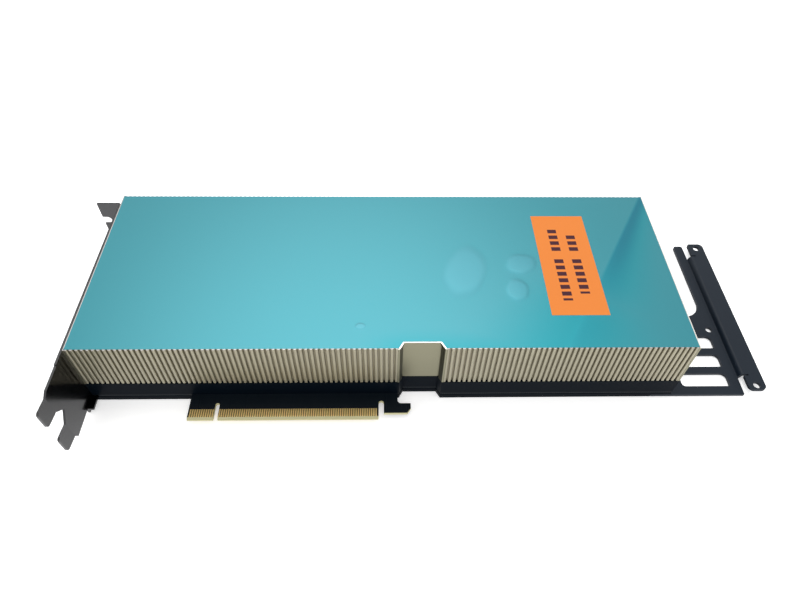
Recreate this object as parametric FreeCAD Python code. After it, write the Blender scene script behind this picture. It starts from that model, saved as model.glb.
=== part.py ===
import FreeCAD, Part
import math
import os

# Passive accelerator card: full height, full length, two slots wide, cooled by the server's own fans.
# Frame: origin at the centre of the underside, +X from the I/O bracket to the tail, +Y from the card
# edge to the bridge edge, +Z from the underside to the covered top. Millimetres.

# Card body
body_length = 266.7
body_width = 96.4
backplate_height = 2.67
board_thickness = 1.57
frame_height = 9.1
cover_height = 25.7

# Cover: ribbed long sides and a flat top, open at both ends
cover_top_wall = 1.5
cover_side_wall = 2.4
rib_pitch = 2.25
rib_depth = 1.1
rib_groove = 1.0

# Notch through the card-edge side of the cover, frame, board and backplate
recess_start = 139.4
recess_length = 19.1
recess_depth = 3.35
recess_slope = 1.9
recess_wall = 1.65

# Rim that the board, the backplate and the cover's posts are clamped on
rim_width = 5.0
post_length = 7.4
bracket_wall = 6.0
tail_wall = 9.0
deck_thickness = 1.5

# Protective film and its label
film_thickness = 0.08
film_inset = 0.5
label_length = 25.8
label_width = 63.4
label_from_tail = 34.6
label_from_front = 17.8

# Board and its card edge
board_inset = 0.2
edge_reach = 13.05
edge_start = 44.95
first_section = 11.65
key_width = 1.9
key_depth = 8.3
second_section = 71.65
edge_bevel_length = 1.25
edge_bevel_depth = 0.45
contact_pitch = 1.0
contact_width = 0.7
contact_length = 3.95
contact_thickness = 0.05
first_contacts = 11
second_contacts = 71
contact_margin = 0.2
hook_gap = 2.35
hook_gap_depth = 9.0
hook_length = 12.2
hook_reach = 10.3
hook_arm = 5.0
hook_neck = 6.3
hook_corner = 1.6
slot_flat = 0.05

# Backplate
backplate_floor = 1.3

# Processor package
package_from_bracket = 120.0
package_size = 55.0
package_thickness = 2.0
die_length = 26.0
die_width = 32.0
die_thickness = 0.8
memory_length = 8.0
memory_width = 10.5
memory_gap = 1.0
memory_rows = 3
ring_wall = 4.0
paste_thickness = 0.1

# Cold plate and fins
cold_plate_length = 94.0
cold_plate_width = 72.0
cold_plate_thickness = 4.0
pedestal_length = 46.0
pedestal_width = 38.0
cold_plate_flange = 3.0
fin_pitch = 2.2
fin_thickness = 0.4
fin_base = 1.0
fin_from_bracket = 14.0
fin_from_tail = 8.0

# Power parts on the board
inductor_size = 9.0
inductor_height = 6.4
inductor_pitch_x = 11.5
inductor_pitch_y = 11.5
inductor_rows = 6
inductor_columns = 2
bank_gap = 2.0
stage_length = 5.0
stage_width = 6.0
stage_height = 0.9
capacitor_length = 4.3
capacitor_width = 7.3
capacitor_height = 2.8
choke_length = 10.0
choke_width = 12.0
choke_height = 7.0

# Power inlet at the tail
inlet_circuits = 4
inlet_pitch = 4.2
inlet_cell = 3.5
inlet_wall = 0.9
inlet_depth = 14.5
inlet_cell_depth = 11.0
inlet_from_rear = 8.0
inlet_setback = 0.5
inlet_latch_width = 4.0
inlet_latch_height = 1.2
inlet_latch_length = 6.0
pin_size = 1.14
pin_length = 8.5

# Bridge tabs and their caps on the edge away from the card edge
bridge_count = 3
bridge_pitch = 34.0
bridge_first = 62.0
bridge_width = 26.0
bridge_cap_reach = 1.7
bridge_cap_wall = 1.0

# I/O bracket
bracket_thickness = 1.0
bracket_flange_depth = 12.0
bracket_flange_top = 91.1
bracket_height = 120.02
bracket_bend = 1.5
bracket_foot = 0.5
tongue_width = 10.19
slot_pitch = 20.32
tongue_gap_height = 21.7
tongue_length = 7.2
tongue_corner = 1.5
tongue_notch_depth = 4.5
tongue_set_out = 0.6
shoulder_rise = 2.9
bracket_lower_edge = 3.8
screw_notch_width = 4.42
screw_notch_depth = 4.2
screw_notch_height = 28.0
vent_slot_width = 3.0
vent_slot_pitch = 4.7
vent_slot_count = 16
vent_margin = 1.4
vent_shift = 2.6
lug_length = 2.5
lug_reach = 7.0
lug_thickness = 1.0

# Tail extender
extender_thickness = 1.5
extender_rise = 2.5
extender_web = 35.3
extender_strip_width = 8.3
extender_strip_setback = 0.9
extender_joggle_run = 0.8
extender_joggle_margin = 9.5
extender_bend_radius = 0.4
extender_relief_width = 0.8
extender_relief_length = 2.2
extender_arm_width = 4.8
extender_arm_overhang = 0.7
extender_cutout_start = 46.3
extender_cutout_corner = 9.7
extender_corner = 2.4
extender_edge_corner = 1.2
extender_window_start = 7.2
extender_window_length = 23.0
extender_window_width = 7.2
extender_window_corners = (1.8, 0, 2.5, 4.0)
extender_window_first = 4.5
extender_window_pitch = 10.95
extender_windows = 3
extender_hole_radius = 1.7
extender_hole_inset = 3.4
extender_mid_hole_radius = 1.6
extender_mid_hole_from_front = 37.9
extender_mid_hole_from_tail = 31.0

# Fasteners
head_radius = 1.9
shank_radius = 1.0
head_depth = 0.9
pan_head_radius = 2.0
pan_head_height = 1.2
thread_depth = 5.0

# Clearances
slip = 0.3
hole_clearance = 0.2
thread_clearance = 0.05

# Heights of the layers
board_bottom = backplate_height
board_top = board_bottom + board_thickness
frame_top = board_top + frame_height
deck_bottom = frame_top - deck_thickness
cover_top = frame_top + cover_height
cover_ceiling = cover_top - cover_top_wall

# Sides of the body
bracket_end = -body_length / 2
tail_end = body_length / 2
front = -body_width / 2
rear = body_width / 2
recess_from = bracket_end + recess_start
recess_to = recess_from + recess_length
recess_floor = front + recess_depth
rim = max(rim_width, recess_depth + recess_wall)

# Middles of the screw rows, in from the sides and the ends
screw_inset = (rib_depth + rim) / 2
bracket_screw_x = bracket_end + bracket_wall + post_length / 2
tail_screw_x = tail_end - tail_wall / 2

V = FreeCAD.Vector


def box(x0, x1, y0, y1, z0, z1):
    """A block between two corners."""
    return Part.makeBox(x1 - x0, y1 - y0, z1 - z0, V(x0, y0, z0))


def centred_box(x, y, length, width, z0, z1):
    """A block centred on x, y."""
    return box(x - length / 2, x + length / 2, y - width / 2, y + width / 2, z0, z1)


def upright(x, y, radius, z0, z1):
    """A vertical cylinder."""
    return Part.makeCylinder(radius, z1 - z0, V(x, y, z0))


def lying(y, z, radius, x0, x1):
    """A cylinder along X."""
    return Part.makeCylinder(radius, x1 - x0, V(x0, y, z), V(1, 0, 0))


def rounded_wire(corners, place):
    """A closed wire through (u, v, radius) corners. place turns u, v into a point in space."""
    count = len(corners)
    legs = []
    for i in range(count):
        u, v, radius = corners[i]
        pu, pv, _ = corners[i - 1]
        nu, nv, _ = corners[(i + 1) % count]
        if radius <= 0:
            legs.append((place(u, v), None, place(u, v)))
            continue
        back = math.hypot(pu - u, pv - v)
        ahead = math.hypot(nu - u, nv - v)
        bu, bv = (pu - u) / back, (pv - v) / back
        au, av = (nu - u) / ahead, (nv - v) / ahead
        half = math.acos(max(-1.0, min(1.0, bu * au + bv * av))) / 2
        reach = radius / math.tan(half)
        mu, mv = bu + au, bv + av
        middle = math.hypot(mu, mv)
        away = radius / math.sin(half) - radius
        legs.append((
            place(u + bu * reach, v + bv * reach),
            place(u + mu / middle * away, v + mv / middle * away),
            place(u + au * reach, v + av * reach),
        ))
    edges = []
    for i in range(count):
        start, middle, end = legs[i]
        if middle is not None:
            edges.append(Part.Arc(start, middle, end).toShape())
        following = legs[(i + 1) % count][0]
        if end.distanceToPoint(following) > 1e-6:
            edges.append(Part.makeLine(end, following))
    return Part.Wire(edges)


def plan_prism(corners, z0, z1):
    """A plan outline of (x, y, radius) corners, raised from z0 to z1."""
    wire = rounded_wire(corners, lambda u, v: V(u, v, z0))
    return Part.Face(wire).extrude(V(0, 0, z1 - z0))


def square(*points):
    """Sharp corners, as (u, v, 0) triples."""
    return [(u, v, 0) for u, v in points]


def body_outline(inset=0.0):
    """The body's plan outline with the notch on the card-edge side, pulled in by inset."""
    return square(
        (bracket_end + inset, front + inset),
        (recess_from - inset, front + inset),
        (recess_from + recess_slope - inset, recess_floor + inset),
        (recess_to - recess_slope + inset, recess_floor + inset),
        (recess_to + inset, front + inset),
        (tail_end - inset, front + inset),
        (tail_end - inset, rear - inset),
        (bracket_end + inset, rear - inset),
    )


def screw_head(x, y):
    """The cone of a flat head, flush with the underside."""
    return Part.makeCone(head_radius, shank_radius, head_depth, V(x, y, 0))


def countersunk_screw(x, y, top):
    """A flat-head screw pointing up."""
    return screw_head(x, y).fuse(upright(x, y, shank_radius, head_depth, top))


def screw_seat(x, y):
    """What a flat-head screw needs cut from the sheet that its head is sunk in."""
    return screw_head(x, y).fuse(screw_hole(x, y))


def screw_opening(x, y, low=board_bottom - 1):
    """A square opening for a screw's shank, from low up through the board and the frame."""
    size = 2 * (shank_radius + slip)
    return centred_box(x, y, size, size, low, frame_top + 1)


def screw_hole(x, y):
    """A clearance hole for a clamp screw, through every layer."""
    return upright(x, y, shank_radius + hole_clearance, 0, frame_top + slip)


def thread_hole(x, y, bottom):
    """A blind hole that a clamp screw is threaded into."""
    return upright(x, y, shank_radius + thread_clearance, bottom, bottom + thread_depth + slip)


def clamp_screw_places():
    """Plan places of the long screws that clamp the backplate, board, frame and cover."""
    sides = (front + screw_inset, rear - screw_inset)
    return [(x, y) for x in (bracket_screw_x, tail_screw_x) for y in sides]


def extender_screw_place():
    """Plan place of the short screw at the tail extender's far corner."""
    return tail_screw_x, front + extender_cutout_start - tail_wall


def extender_seats():
    """Plan places of the screws whose heads are sunk in the tail extender, not in the backplate."""
    return [(tail_screw_x, front + screw_inset), extender_screw_place()]


def package_centre():
    return bracket_end + package_from_bracket, 0.0


def bracket_screw_places():
    """Y, Z places of the screws through the I/O bracket, in the frame's end wall."""
    z = (board_top + frame_top) / 2
    flat_end = front + bracket_flange_top - bracket_bend - bracket_thickness
    return [(front + bracket_wall, z), (flat_end - 2 * pan_head_radius, z)]


def bridge_centres():
    return [bracket_end + bridge_first + i * bridge_pitch for i in range(bridge_count)]


def ribbed_run(start, end, inward):
    """Points along one ribbed side: flat crests parted by V grooves."""
    length = start.distanceToPoint(end)
    along = (end - start) * (1 / length)
    count = max(1, round(length / rib_pitch))
    points = [start]
    for i in range(1, count):
        middle = start + along * (i * length / count)
        points.append(middle - along * (rib_groove / 2))
        points.append(middle + inward * rib_depth)
        points.append(middle + along * (rib_groove / 2))
    return points + [end]


def make_cover():
    """The ribbed aluminium cover with its screw posts inside."""
    corners = [V(x, y, frame_top) for x, y, _ in body_outline()]
    inside = V(0, 1, 0)
    outline = ribbed_run(corners[0], corners[1], inside)
    outline += corners[2:4]
    outline += ribbed_run(corners[4], corners[5], inside)
    outline += ribbed_run(corners[6], corners[7], inside * -1)
    cover = Part.Face(Part.makePolygon(outline + outline[:1])).extrude(V(0, 0, cover_height))
    low = frame_top - 1
    side = body_width / 2 - cover_side_wall
    hollow = box(bracket_end - 1, tail_end + 1, -side, side, low, cover_ceiling)
    posts = [box(recess_from - slip, recess_to + slip, front, front + rim, low, cover_top)]
    for x, y in clamp_screw_places():
        middle = math.copysign((body_width - rim) / 2, y)
        posts.append(centred_box(x, middle, post_length, rim, low, cover_top))
    holes = [thread_hole(x, y, frame_top) for x, y in clamp_screw_places()]
    return cover.cut(hollow.cut(posts)).cut(holes)


def make_film():
    """The clear protective film on the cover's flat top."""
    return plan_prism(body_outline(film_inset), cover_top, cover_top + film_thickness)


def make_label():
    """The label stuck on the film, near the tail."""
    x1 = tail_end - label_from_tail
    y0 = front + label_from_front
    z = cover_top + film_thickness
    return box(x1 - label_length, x1, y0, y0 + label_width, z, z + film_thickness)


def bridge_windows(low, high):
    """Cuts for the bridge tabs through the rim."""
    half = bridge_width / 2
    return [box(x - half, x + half, rear - rim, rear + 1, low, high) for x in bridge_centres()]


def inlet_place():
    """Corners of the power inlet's housing: x0, x1, y0, y1, top."""
    x1 = tail_end - inlet_setback
    y1 = rear - inlet_from_rear
    width = inlet_circuits * inlet_pitch + inlet_wall * 2
    height = 2 * inlet_pitch + inlet_wall * 2
    return x1 - inlet_depth, x1, y1 - width, y1, board_top + height


def make_base_frame():
    """The black frame: a rim on the board, a deck above the power parts and a wall at each end."""
    frame = plan_prism(body_outline(), board_top, frame_top)
    under_deck = box(
        bracket_end + bracket_wall, tail_end - tail_wall,
        front + rim, rear - rim, board_top - 1, deck_bottom,
    )
    cx, cy = package_centre()
    plate_window = centred_box(
        cx, cy, cold_plate_length + 2 * slip, cold_plate_width + 2 * slip, board_top, frame_top + 1
    )
    x0, _, y0, y1, top = inlet_place()
    inlet_window = box(x0 - slip, tail_end + 1, y0 - slip, y1 + slip, board_top - 1, max(top, frame_top) + 1)
    cuts = [under_deck, plate_window, inlet_window, thread_hole(*extender_screw_place(), board_top)]
    cuts += bridge_windows(board_top - 1, deck_bottom)
    cuts += [screw_opening(x, y) for x, y in clamp_screw_places()]
    thread_end = bracket_end + thread_depth + slip
    for y, z in bracket_screw_places():
        cuts.append(lying(y, z, shank_radius + thread_clearance, bracket_end, thread_end))
    return frame.cut(cuts)


def card_edge_stations():
    """X places along the card edge: both sections, the gap and the hook."""
    a = bracket_end + edge_start
    b = a + first_section
    c = b + key_width
    d = c + second_section
    e = d + hook_gap
    f = e + hook_length
    return a, b, c, d, e, f


def make_board():
    """The circuit board with its card edge, retention hook and bridge tabs."""
    a, b, c, d, e, f = card_edge_stations()
    y0 = front + board_inset
    tip = front - edge_reach
    hook_tip = front - hook_reach
    arm_top = hook_tip + hook_arm
    neck = e + hook_neck
    outline = body_outline(board_inset)
    edge = [
        (a, y0, 0),
        (a, tip, 0),
        (b, tip, 0),
        (b, tip + key_depth, key_width / 2 - slot_flat),
        (c, tip + key_depth, key_width / 2 - slot_flat),
        (c, tip, 0),
        (d, tip, 0),
        (d, tip + hook_gap_depth, hook_gap / 2 - slot_flat),
        (e, tip + hook_gap_depth, hook_gap / 2 - slot_flat),
        (e, hook_tip, 0),
        (f - hook_corner, hook_tip, 0),
        (f, hook_tip + 1.5 * hook_corner, 0),
        (f, arm_top, 0),
        (neck, arm_top, hook_corner),
        (neck, y0, 0),
    ]
    board = plan_prism(outline[:1] + edge + outline[1:], board_bottom, board_top)
    board = board.cut(bridge_windows(board_bottom - 1, board_top + 1))
    half = bridge_width / 2 - bridge_cap_wall - 2 * slip
    tab_end = rear + bridge_cap_reach - bridge_cap_wall - slip
    tabs = [box(x - half, x + half, rear - rim, tab_end, board_bottom, board_top) for x in bridge_centres()]
    bevels = []
    for z, sign in ((board_bottom, 1), (board_top, -1)):
        profile = [
            V(a - 1, tip + edge_bevel_length, z),
            V(a - 1, tip, z + sign * edge_bevel_depth),
            V(a - 1, tip - 1, z + sign * edge_bevel_depth),
            V(a - 1, tip - 1, z - sign),
            V(a - 1, tip + edge_bevel_length, z - sign),
        ]
        face = Part.Face(Part.makePolygon(profile + profile[:1]))
        bevels.append(face.extrude(V(d - a + 1 + hook_gap / 2, 0, 0)))
    holes = [screw_opening(x, y) for x, y in clamp_screw_places() + [extender_screw_place()]]
    return board.fuse(tabs).cut(bevels + holes).removeSplitter()


def make_edge_contacts():
    """Gold contacts on both faces of the card edge."""
    a, _, c, _, _, _ = card_edge_stations()
    y0 = front - edge_reach + edge_bevel_length
    span = (first_contacts - 1) * contact_pitch + contact_width
    first = a + first_section - contact_margin - span
    starts = [first + i * contact_pitch for i in range(first_contacts)]
    starts += [c + contact_margin + i * contact_pitch for i in range(second_contacts)]
    pads = []
    for x in starts:
        for z in (board_top, board_bottom - contact_thickness):
            pads.append(box(x, x + contact_width, y0, y0 + contact_length, z, z + contact_thickness))
    return pads


def make_backplate():
    """The backplate: a shallow tray that closes the underside and takes the screw heads."""
    plate = plan_prism(body_outline(), 0, backplate_height)
    under_tail = tail_end - tail_wall - slip
    tray_start = bracket_end + bracket_wall
    tray_side = body_width / 2 - rim
    extender_side = front + extender_cutout_start + slip
    cuts = [
        box(tray_start, under_tail, -tray_side, tray_side, backplate_floor, backplate_height + 1),
        box(under_tail, tail_end + 1, front - 1, extender_side, -1, extender_thickness),
    ]
    cuts += bridge_windows(-1, backplate_height + 1)
    cuts += [screw_seat(x, y) for x, y in clamp_screw_places() if (x, y) not in extender_seats()]
    cuts += [screw_opening(x, y, 0) for x, y in extender_seats()]
    return plate.cut(cuts)


def make_clamp_screws():
    return [countersunk_screw(x, y, frame_top + thread_depth) for x, y in clamp_screw_places()]


def make_extender_screw():
    return countersunk_screw(*extender_screw_place(), board_top + thread_depth)


def package_top():
    return board_top + package_thickness


def paste_top():
    return package_top() + die_thickness + paste_thickness


def make_substrate():
    cx, cy = package_centre()
    return centred_box(cx, cy, package_size, package_size, board_top, package_top())


def make_stiffener():
    """The metal ring round the package's edge."""
    cx, cy = package_centre()
    z = package_top()
    inner = package_size - 2 * ring_wall
    ring = centred_box(cx, cy, package_size, package_size, z, z + die_thickness / 2)
    return ring.cut(centred_box(cx, cy, inner, inner, z - 1, z + die_thickness))


def make_die():
    cx, cy = package_centre()
    return centred_box(cx, cy, die_length, die_width, package_top(), package_top() + die_thickness)


def make_memory():
    """Memory stacks along both long sides of the die."""
    cx, cy = package_centre()
    dx = die_length / 2 + memory_gap + memory_length / 2
    pitch = memory_width + memory_gap / 4
    stacks = []
    for side in (-1, 1):
        for row in range(memory_rows):
            y = cy + (row - (memory_rows - 1) / 2) * pitch
            stacks.append(centred_box(
                cx + side * dx, y, memory_length, memory_width, package_top(), package_top() + die_thickness
            ))
    return stacks


def make_paste():
    """Thermal paste between the die, the memory and the cold plate."""
    cx, cy = package_centre()
    length = die_length + 2 * (memory_gap + memory_length)
    return centred_box(cx, cy, length, die_width, package_top() + die_thickness, paste_top())


def make_cold_plate():
    """The copper cold plate: pedestal on the package, flange under the deck, top flush with the deck."""
    cx, cy = package_centre()
    bottom = frame_top - cold_plate_thickness
    top_step = centred_box(cx, cy, cold_plate_length, cold_plate_width, deck_bottom, frame_top)
    flange = centred_box(
        cx, cy,
        cold_plate_length + 2 * cold_plate_flange, cold_plate_width + 2 * cold_plate_flange,
        bottom, deck_bottom,
    )
    pedestal = centred_box(cx, cy, pedestal_length, pedestal_width, paste_top(), bottom)
    return top_step.fuse([flange, pedestal]).removeSplitter()


def make_fins():
    """The fin pack: thin fins along the card on one base sheet, notched over the power inlet."""
    x0 = bracket_end + fin_from_bracket
    x1 = tail_end - fin_from_tail
    y0 = front + rim + slip
    y1 = rear - rim - slip
    top = cover_ceiling - slip
    count = math.floor((y1 - y0 - fin_thickness) / fin_pitch) + 1
    pitch = (y1 - y0 - fin_thickness) / (count - 1)
    floor = frame_top + fin_base
    points = [V(x0, y0, frame_top), V(x0, y1, frame_top)]
    for i in range(count):
        y = y1 - i * pitch
        points.append(V(x0, y, top))
        points.append(V(x0, y - fin_thickness, top))
        if i < count - 1:
            points.append(V(x0, y - fin_thickness, floor))
            points.append(V(x0, y - pitch, floor))
    fins = Part.Face(Part.makePolygon(points + points[:1])).extrude(V(x1 - x0, 0, 0))
    ix0, _, iy0, _, itop = inlet_place()
    notch_top = itop + inlet_latch_height + slip
    notch = box(ix0 - 2 * slip, tail_end, iy0 - 2 * slip, rear, frame_top - 1, notch_top)
    return fins.cut(notch)


def bank_columns():
    """X places of the inductor columns on both sides of the cold plate."""
    cx, _ = package_centre()
    first = cold_plate_length / 2 + cold_plate_flange + bank_gap + inductor_size / 2
    offsets = [first + i * inductor_pitch_x for i in range(inductor_columns)]
    return [cx - o for o in reversed(offsets)] + [cx + o for o in offsets]


def row_places():
    """Y places of the inductor rows."""
    return [(i - (inductor_rows - 1) / 2) * inductor_pitch_y for i in range(inductor_rows)]


def make_inductors():
    top = board_top + inductor_height
    return [
        centred_box(x, y, inductor_size, inductor_size, board_top, top)
        for x in bank_columns() for y in row_places()
    ]


def make_thermal_pads():
    """Soft pads from each inductor column up to the deck."""
    width = row_places()[-1] - row_places()[0] + inductor_size
    low = board_top + inductor_height
    return [centred_box(x, 0, inductor_size, width, low, deck_bottom) for x in bank_columns()]


def outer_columns():
    """X places just outside the inductor banks, towards the bracket and towards the tail."""
    columns = bank_columns()
    reach = inductor_size / 2 + bank_gap + stage_length / 2
    return columns[0] - reach, columns[-1] + reach


def make_power_stages():
    """Flat switching chips outside each inductor bank."""
    return [
        centred_box(x, y, stage_length, stage_width, board_top, board_top + stage_height)
        for x in outer_columns() for y in row_places()
    ]


def make_capacitors():
    """Flat capacitors outside the switching chips."""
    low_x, high_x = outer_columns()
    reach = stage_length / 2 + bank_gap + capacitor_length / 2
    return [
        centred_box(x, y, capacitor_length, capacitor_width, board_top, board_top + capacitor_height)
        for x in (low_x - reach, high_x + reach) for y in row_places()
    ]


def make_input_chokes():
    """Two input chokes between the power inlet and the rest."""
    x0, _, y0, y1, _ = inlet_place()
    x = x0 - bank_gap - choke_length / 2
    middle = (y0 + y1) / 2 - choke_width / 2
    step = choke_width + bank_gap
    return [
        centred_box(x, middle - i * step, choke_length, choke_width, board_top, board_top + choke_height)
        for i in range(2)
    ]


def inlet_cells():
    """Centres of the inlet's cells, as y, z."""
    _, _, y0, _, _ = inlet_place()
    cells = []
    for i in range(inlet_circuits):
        for j in range(2):
            y = y0 + inlet_wall + (i + 0.5) * inlet_pitch
            z = board_top + inlet_wall + (j + 0.5) * inlet_pitch
            cells.append((y, z))
    return cells


def make_inlet():
    """The power inlet's housing, its cells open towards the tail, with a latch ramp on top."""
    x0, x1, y0, y1, top = inlet_place()
    housing = box(x0, x1, y0, y1, board_top, top)
    middle = (y0 + y1) / 2
    half = inlet_latch_width / 2
    ramp = [
        V(x1 - inlet_latch_length, middle - half, top),
        V(x1, middle - half, top),
        V(x1 - inlet_latch_length, middle - half, top + inlet_latch_height),
    ]
    latch = Part.Face(Part.makePolygon(ramp + ramp[:1])).extrude(V(0, inlet_latch_width, 0))
    half_cell = inlet_cell / 2
    cells = [
        box(x1 - inlet_cell_depth, x1 + 1, y - half_cell, y + half_cell, z - half_cell, z + half_cell)
        for y, z in inlet_cells()
    ]
    return housing.fuse(latch).cut(cells)


def make_inlet_pins():
    _, x1, _, _, _ = inlet_place()
    start = x1 - inlet_cell_depth
    half = pin_size / 2
    return [box(start, start + pin_length, y - half, y + half, z - half, z + half) for y, z in inlet_cells()]


def make_bridge_cap(x):
    """A push-on cap over one bridge tab."""
    half = bridge_width / 2 - slip
    y0 = rear - rim + slip
    y1 = rear + bridge_cap_reach
    cap = box(x - half, x + half, y0, y1, slip, deck_bottom - slip)
    wall = bridge_cap_wall
    mouth = box(x - half + wall, x + half - wall, y0 - 1, y1 - wall, board_bottom, board_top)
    return cap.cut(mouth)


def bracket_outline():
    """The I/O bracket's outline in Y and Z, round its two tongues."""
    top = front + bracket_flange_top
    tip = top - bracket_height
    root = tip + tongue_length
    shoulder = root + shoulder_rise
    valley = root + tongue_notch_depth
    half_gap = (slot_pitch - tongue_width) / 2
    upper_low = tongue_gap_height + half_gap
    upper_high = upper_low + tongue_width
    lower_high = tongue_gap_height - half_gap
    lower_low = lower_high - tongue_width
    return [
        (top, bracket_foot, 0),
        (top, cover_top, 0),
        (front - lug_reach, cover_top, 0),
        (front - lug_reach, cover_top - bracket_foot, 0),
        (shoulder, cover_top - bracket_foot, 0),
        (root, upper_high, 0),
        (tip, upper_high, tongue_corner),
        (tip, upper_low, tongue_corner),
        (root, upper_low, 0),
        (valley, tongue_gap_height, 0),
        (root, lower_high, 0),
        (tip, lower_high, tongue_corner),
        (tip, lower_low, tongue_corner),
        (root, lower_low, 0),
        (shoulder - tongue_corner, bracket_lower_edge, 0),
        (front - lug_reach, bracket_lower_edge, 0),
        (front - lug_reach, bracket_foot, 0),
    ]


def make_io_bracket():
    """The I/O bracket: one folded sheet with tongues, a vent and a slotted top flange."""
    outer = bracket_end - bracket_thickness
    top = front + bracket_flange_top
    low = top - bracket_thickness
    tip = top - bracket_height
    root = tip + tongue_length
    flange_end = bracket_end - bracket_flange_depth
    fold = [
        (bracket_end - tongue_set_out, tip, 0),
        (bracket_end, root, 0),
        (bracket_end, top, bracket_bend),
        (flange_end, top, 0),
        (flange_end, low, 0),
        (outer, low, bracket_bend - bracket_thickness),
        (outer, root, 0),
        (outer - tongue_set_out, tip, 0),
    ]
    sheet = plan_prism(fold, bracket_foot, cover_top)
    face_wire = rounded_wire(bracket_outline(), lambda u, v: V(flange_end - 1, u, v))
    sheet = sheet.common(Part.Face(face_wire).extrude(V(bracket_flange_depth + 2, 0, 0)))
    vent_low = frame_top + fin_base + vent_margin
    vent_high = cover_ceiling - vent_margin
    half = vent_slot_width / 2
    cuts = []
    for i in range(vent_slot_count):
        y = (i - (vent_slot_count - 1) / 2) * vent_slot_pitch - vent_shift
        cuts.append(box(outer - 1, bracket_end + 1, y - half, y + half, vent_low, vent_high))
    for y, z in bracket_screw_places():
        cuts.append(lying(y, z, shank_radius + hole_clearance, outer - 1, bracket_end + 1))
    radius = screw_notch_width / 2
    notch_x = flange_end + screw_notch_depth - radius
    for z in (screw_notch_height, screw_notch_height - slot_pitch):
        cuts.append(Part.makeCylinder(radius, bracket_thickness + 2, V(notch_x, low - 1, z), V(0, 1, 0)))
        cuts.append(box(flange_end - 1, notch_x, low - 1, top + 1, z - radius, z + radius))
    lug_bottom = bracket_lower_edge - lug_thickness
    lug_end = bracket_end + lug_length
    lug = box(outer, lug_end, front - lug_reach, front, lug_bottom, bracket_lower_edge)
    return sheet.cut(cuts).fuse(lug).removeSplitter()


def make_bracket_screws():
    """Pan-head screws through the I/O bracket."""
    outer = bracket_end - bracket_thickness
    screws = []
    for y, z in bracket_screw_places():
        head = lying(y, z, pan_head_radius, outer - pan_head_height, outer)
        shank = lying(y, z, shank_radius, outer, bracket_end + thread_depth)
        screws.append(head.fuse(shank).removeSplitter())
    return screws


def extender_window(index):
    """One window of the tail extender, its corners listed from the one nearest the card edge and bracket."""
    x0 = tail_end + extender_window_start
    x1 = x0 + extender_window_length
    y0 = front + extender_window_first + index * extender_window_pitch
    y1 = y0 + extender_window_width
    places = [(x0, y0), (x1, y0), (x1, y1), (x0, y1)]
    corners = [(x, y, radius) for (x, y), radius in zip(places, extender_window_corners)]
    return plan_prism(corners, -1, extender_thickness + 1)


def make_extender():
    """The tail extender: a flat web, a joggle and a raised strip, one folded sheet."""
    t = extender_thickness
    strip_top = extender_rise + t
    slope = math.atan2(extender_rise, extender_joggle_run)
    thickness_shift = t * math.tan(slope / 2)
    x0 = tail_end - tail_wall
    arm_right = tail_end + extender_web
    arm_left = arm_right - extender_arm_width
    strip_left = arm_right + extender_joggle_run + thickness_shift
    strip_right = strip_left + extender_strip_width
    cutout = front + extender_cutout_start
    arm_end = rear + extender_arm_overhang
    web = plan_prism(
        [
            (x0, front, 0),
            (arm_right, front, 0),
            (arm_right, arm_end, extender_edge_corner),
            (arm_left, arm_end, extender_edge_corner),
            (arm_left, cutout, extender_cutout_corner),
            (x0, cutout, 0),
        ],
        0, t,
    )
    strip_front = front + extender_strip_setback
    strip = plan_prism(
        [
            (strip_left, strip_front, extender_corner),
            (strip_right, strip_front, extender_corner),
            (strip_right, rear, extender_corner),
            (strip_left, rear, extender_edge_corner),
        ],
        extender_rise, strip_top,
    )
    y0 = front + extender_joggle_margin
    y1 = rear - extender_joggle_margin
    inner = extender_bend_radius
    joggle_section = [
        (arm_right - t, 0, 0),
        (arm_right + thickness_shift, 0, inner + t),
        (strip_left, extender_rise, inner),
        (strip_left + t, extender_rise, 0),
        (strip_left + t, strip_top, 0),
        (arm_right + extender_joggle_run, strip_top, inner + t),
        (arm_right, t, inner),
        (arm_right - t, t, 0),
    ]
    joggle = Part.Face(rounded_wire(joggle_section, lambda u, v: V(u, y0, v))).extrude(V(0, y1 - y0, 0))
    sheet = web.fuse([strip, joggle]).removeSplitter()
    cuts = [extender_window(i) for i in range(extender_windows)]
    for low in (y0 - extender_relief_width, y1):
        relief_end = strip_left + extender_relief_length
        cuts.append(box(strip_left - 1, relief_end, low, low + extender_relief_width, 0, strip_top + 1))
    strip_middle = (strip_left + strip_right) / 2
    for y in (front + extender_hole_inset, rear - extender_hole_inset):
        cuts.append(upright(strip_middle, y, extender_hole_radius, -1, strip_top + 1))
    cuts.append(upright(
        tail_end + extender_mid_hole_from_tail, front + extender_mid_hole_from_front,
        extender_mid_hole_radius, -1, t + 1,
    ))
    cuts += [screw_seat(x, y) for x, y in extender_seats()]
    return sheet.cut(cuts)


def save(name, shape):
    """Writes one node. A list of solids is saved as a group."""
    if isinstance(shape, list):
        shape = Part.makeCompound(shape)
    shape.exportStep("parts/" + name + ".step")


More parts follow.
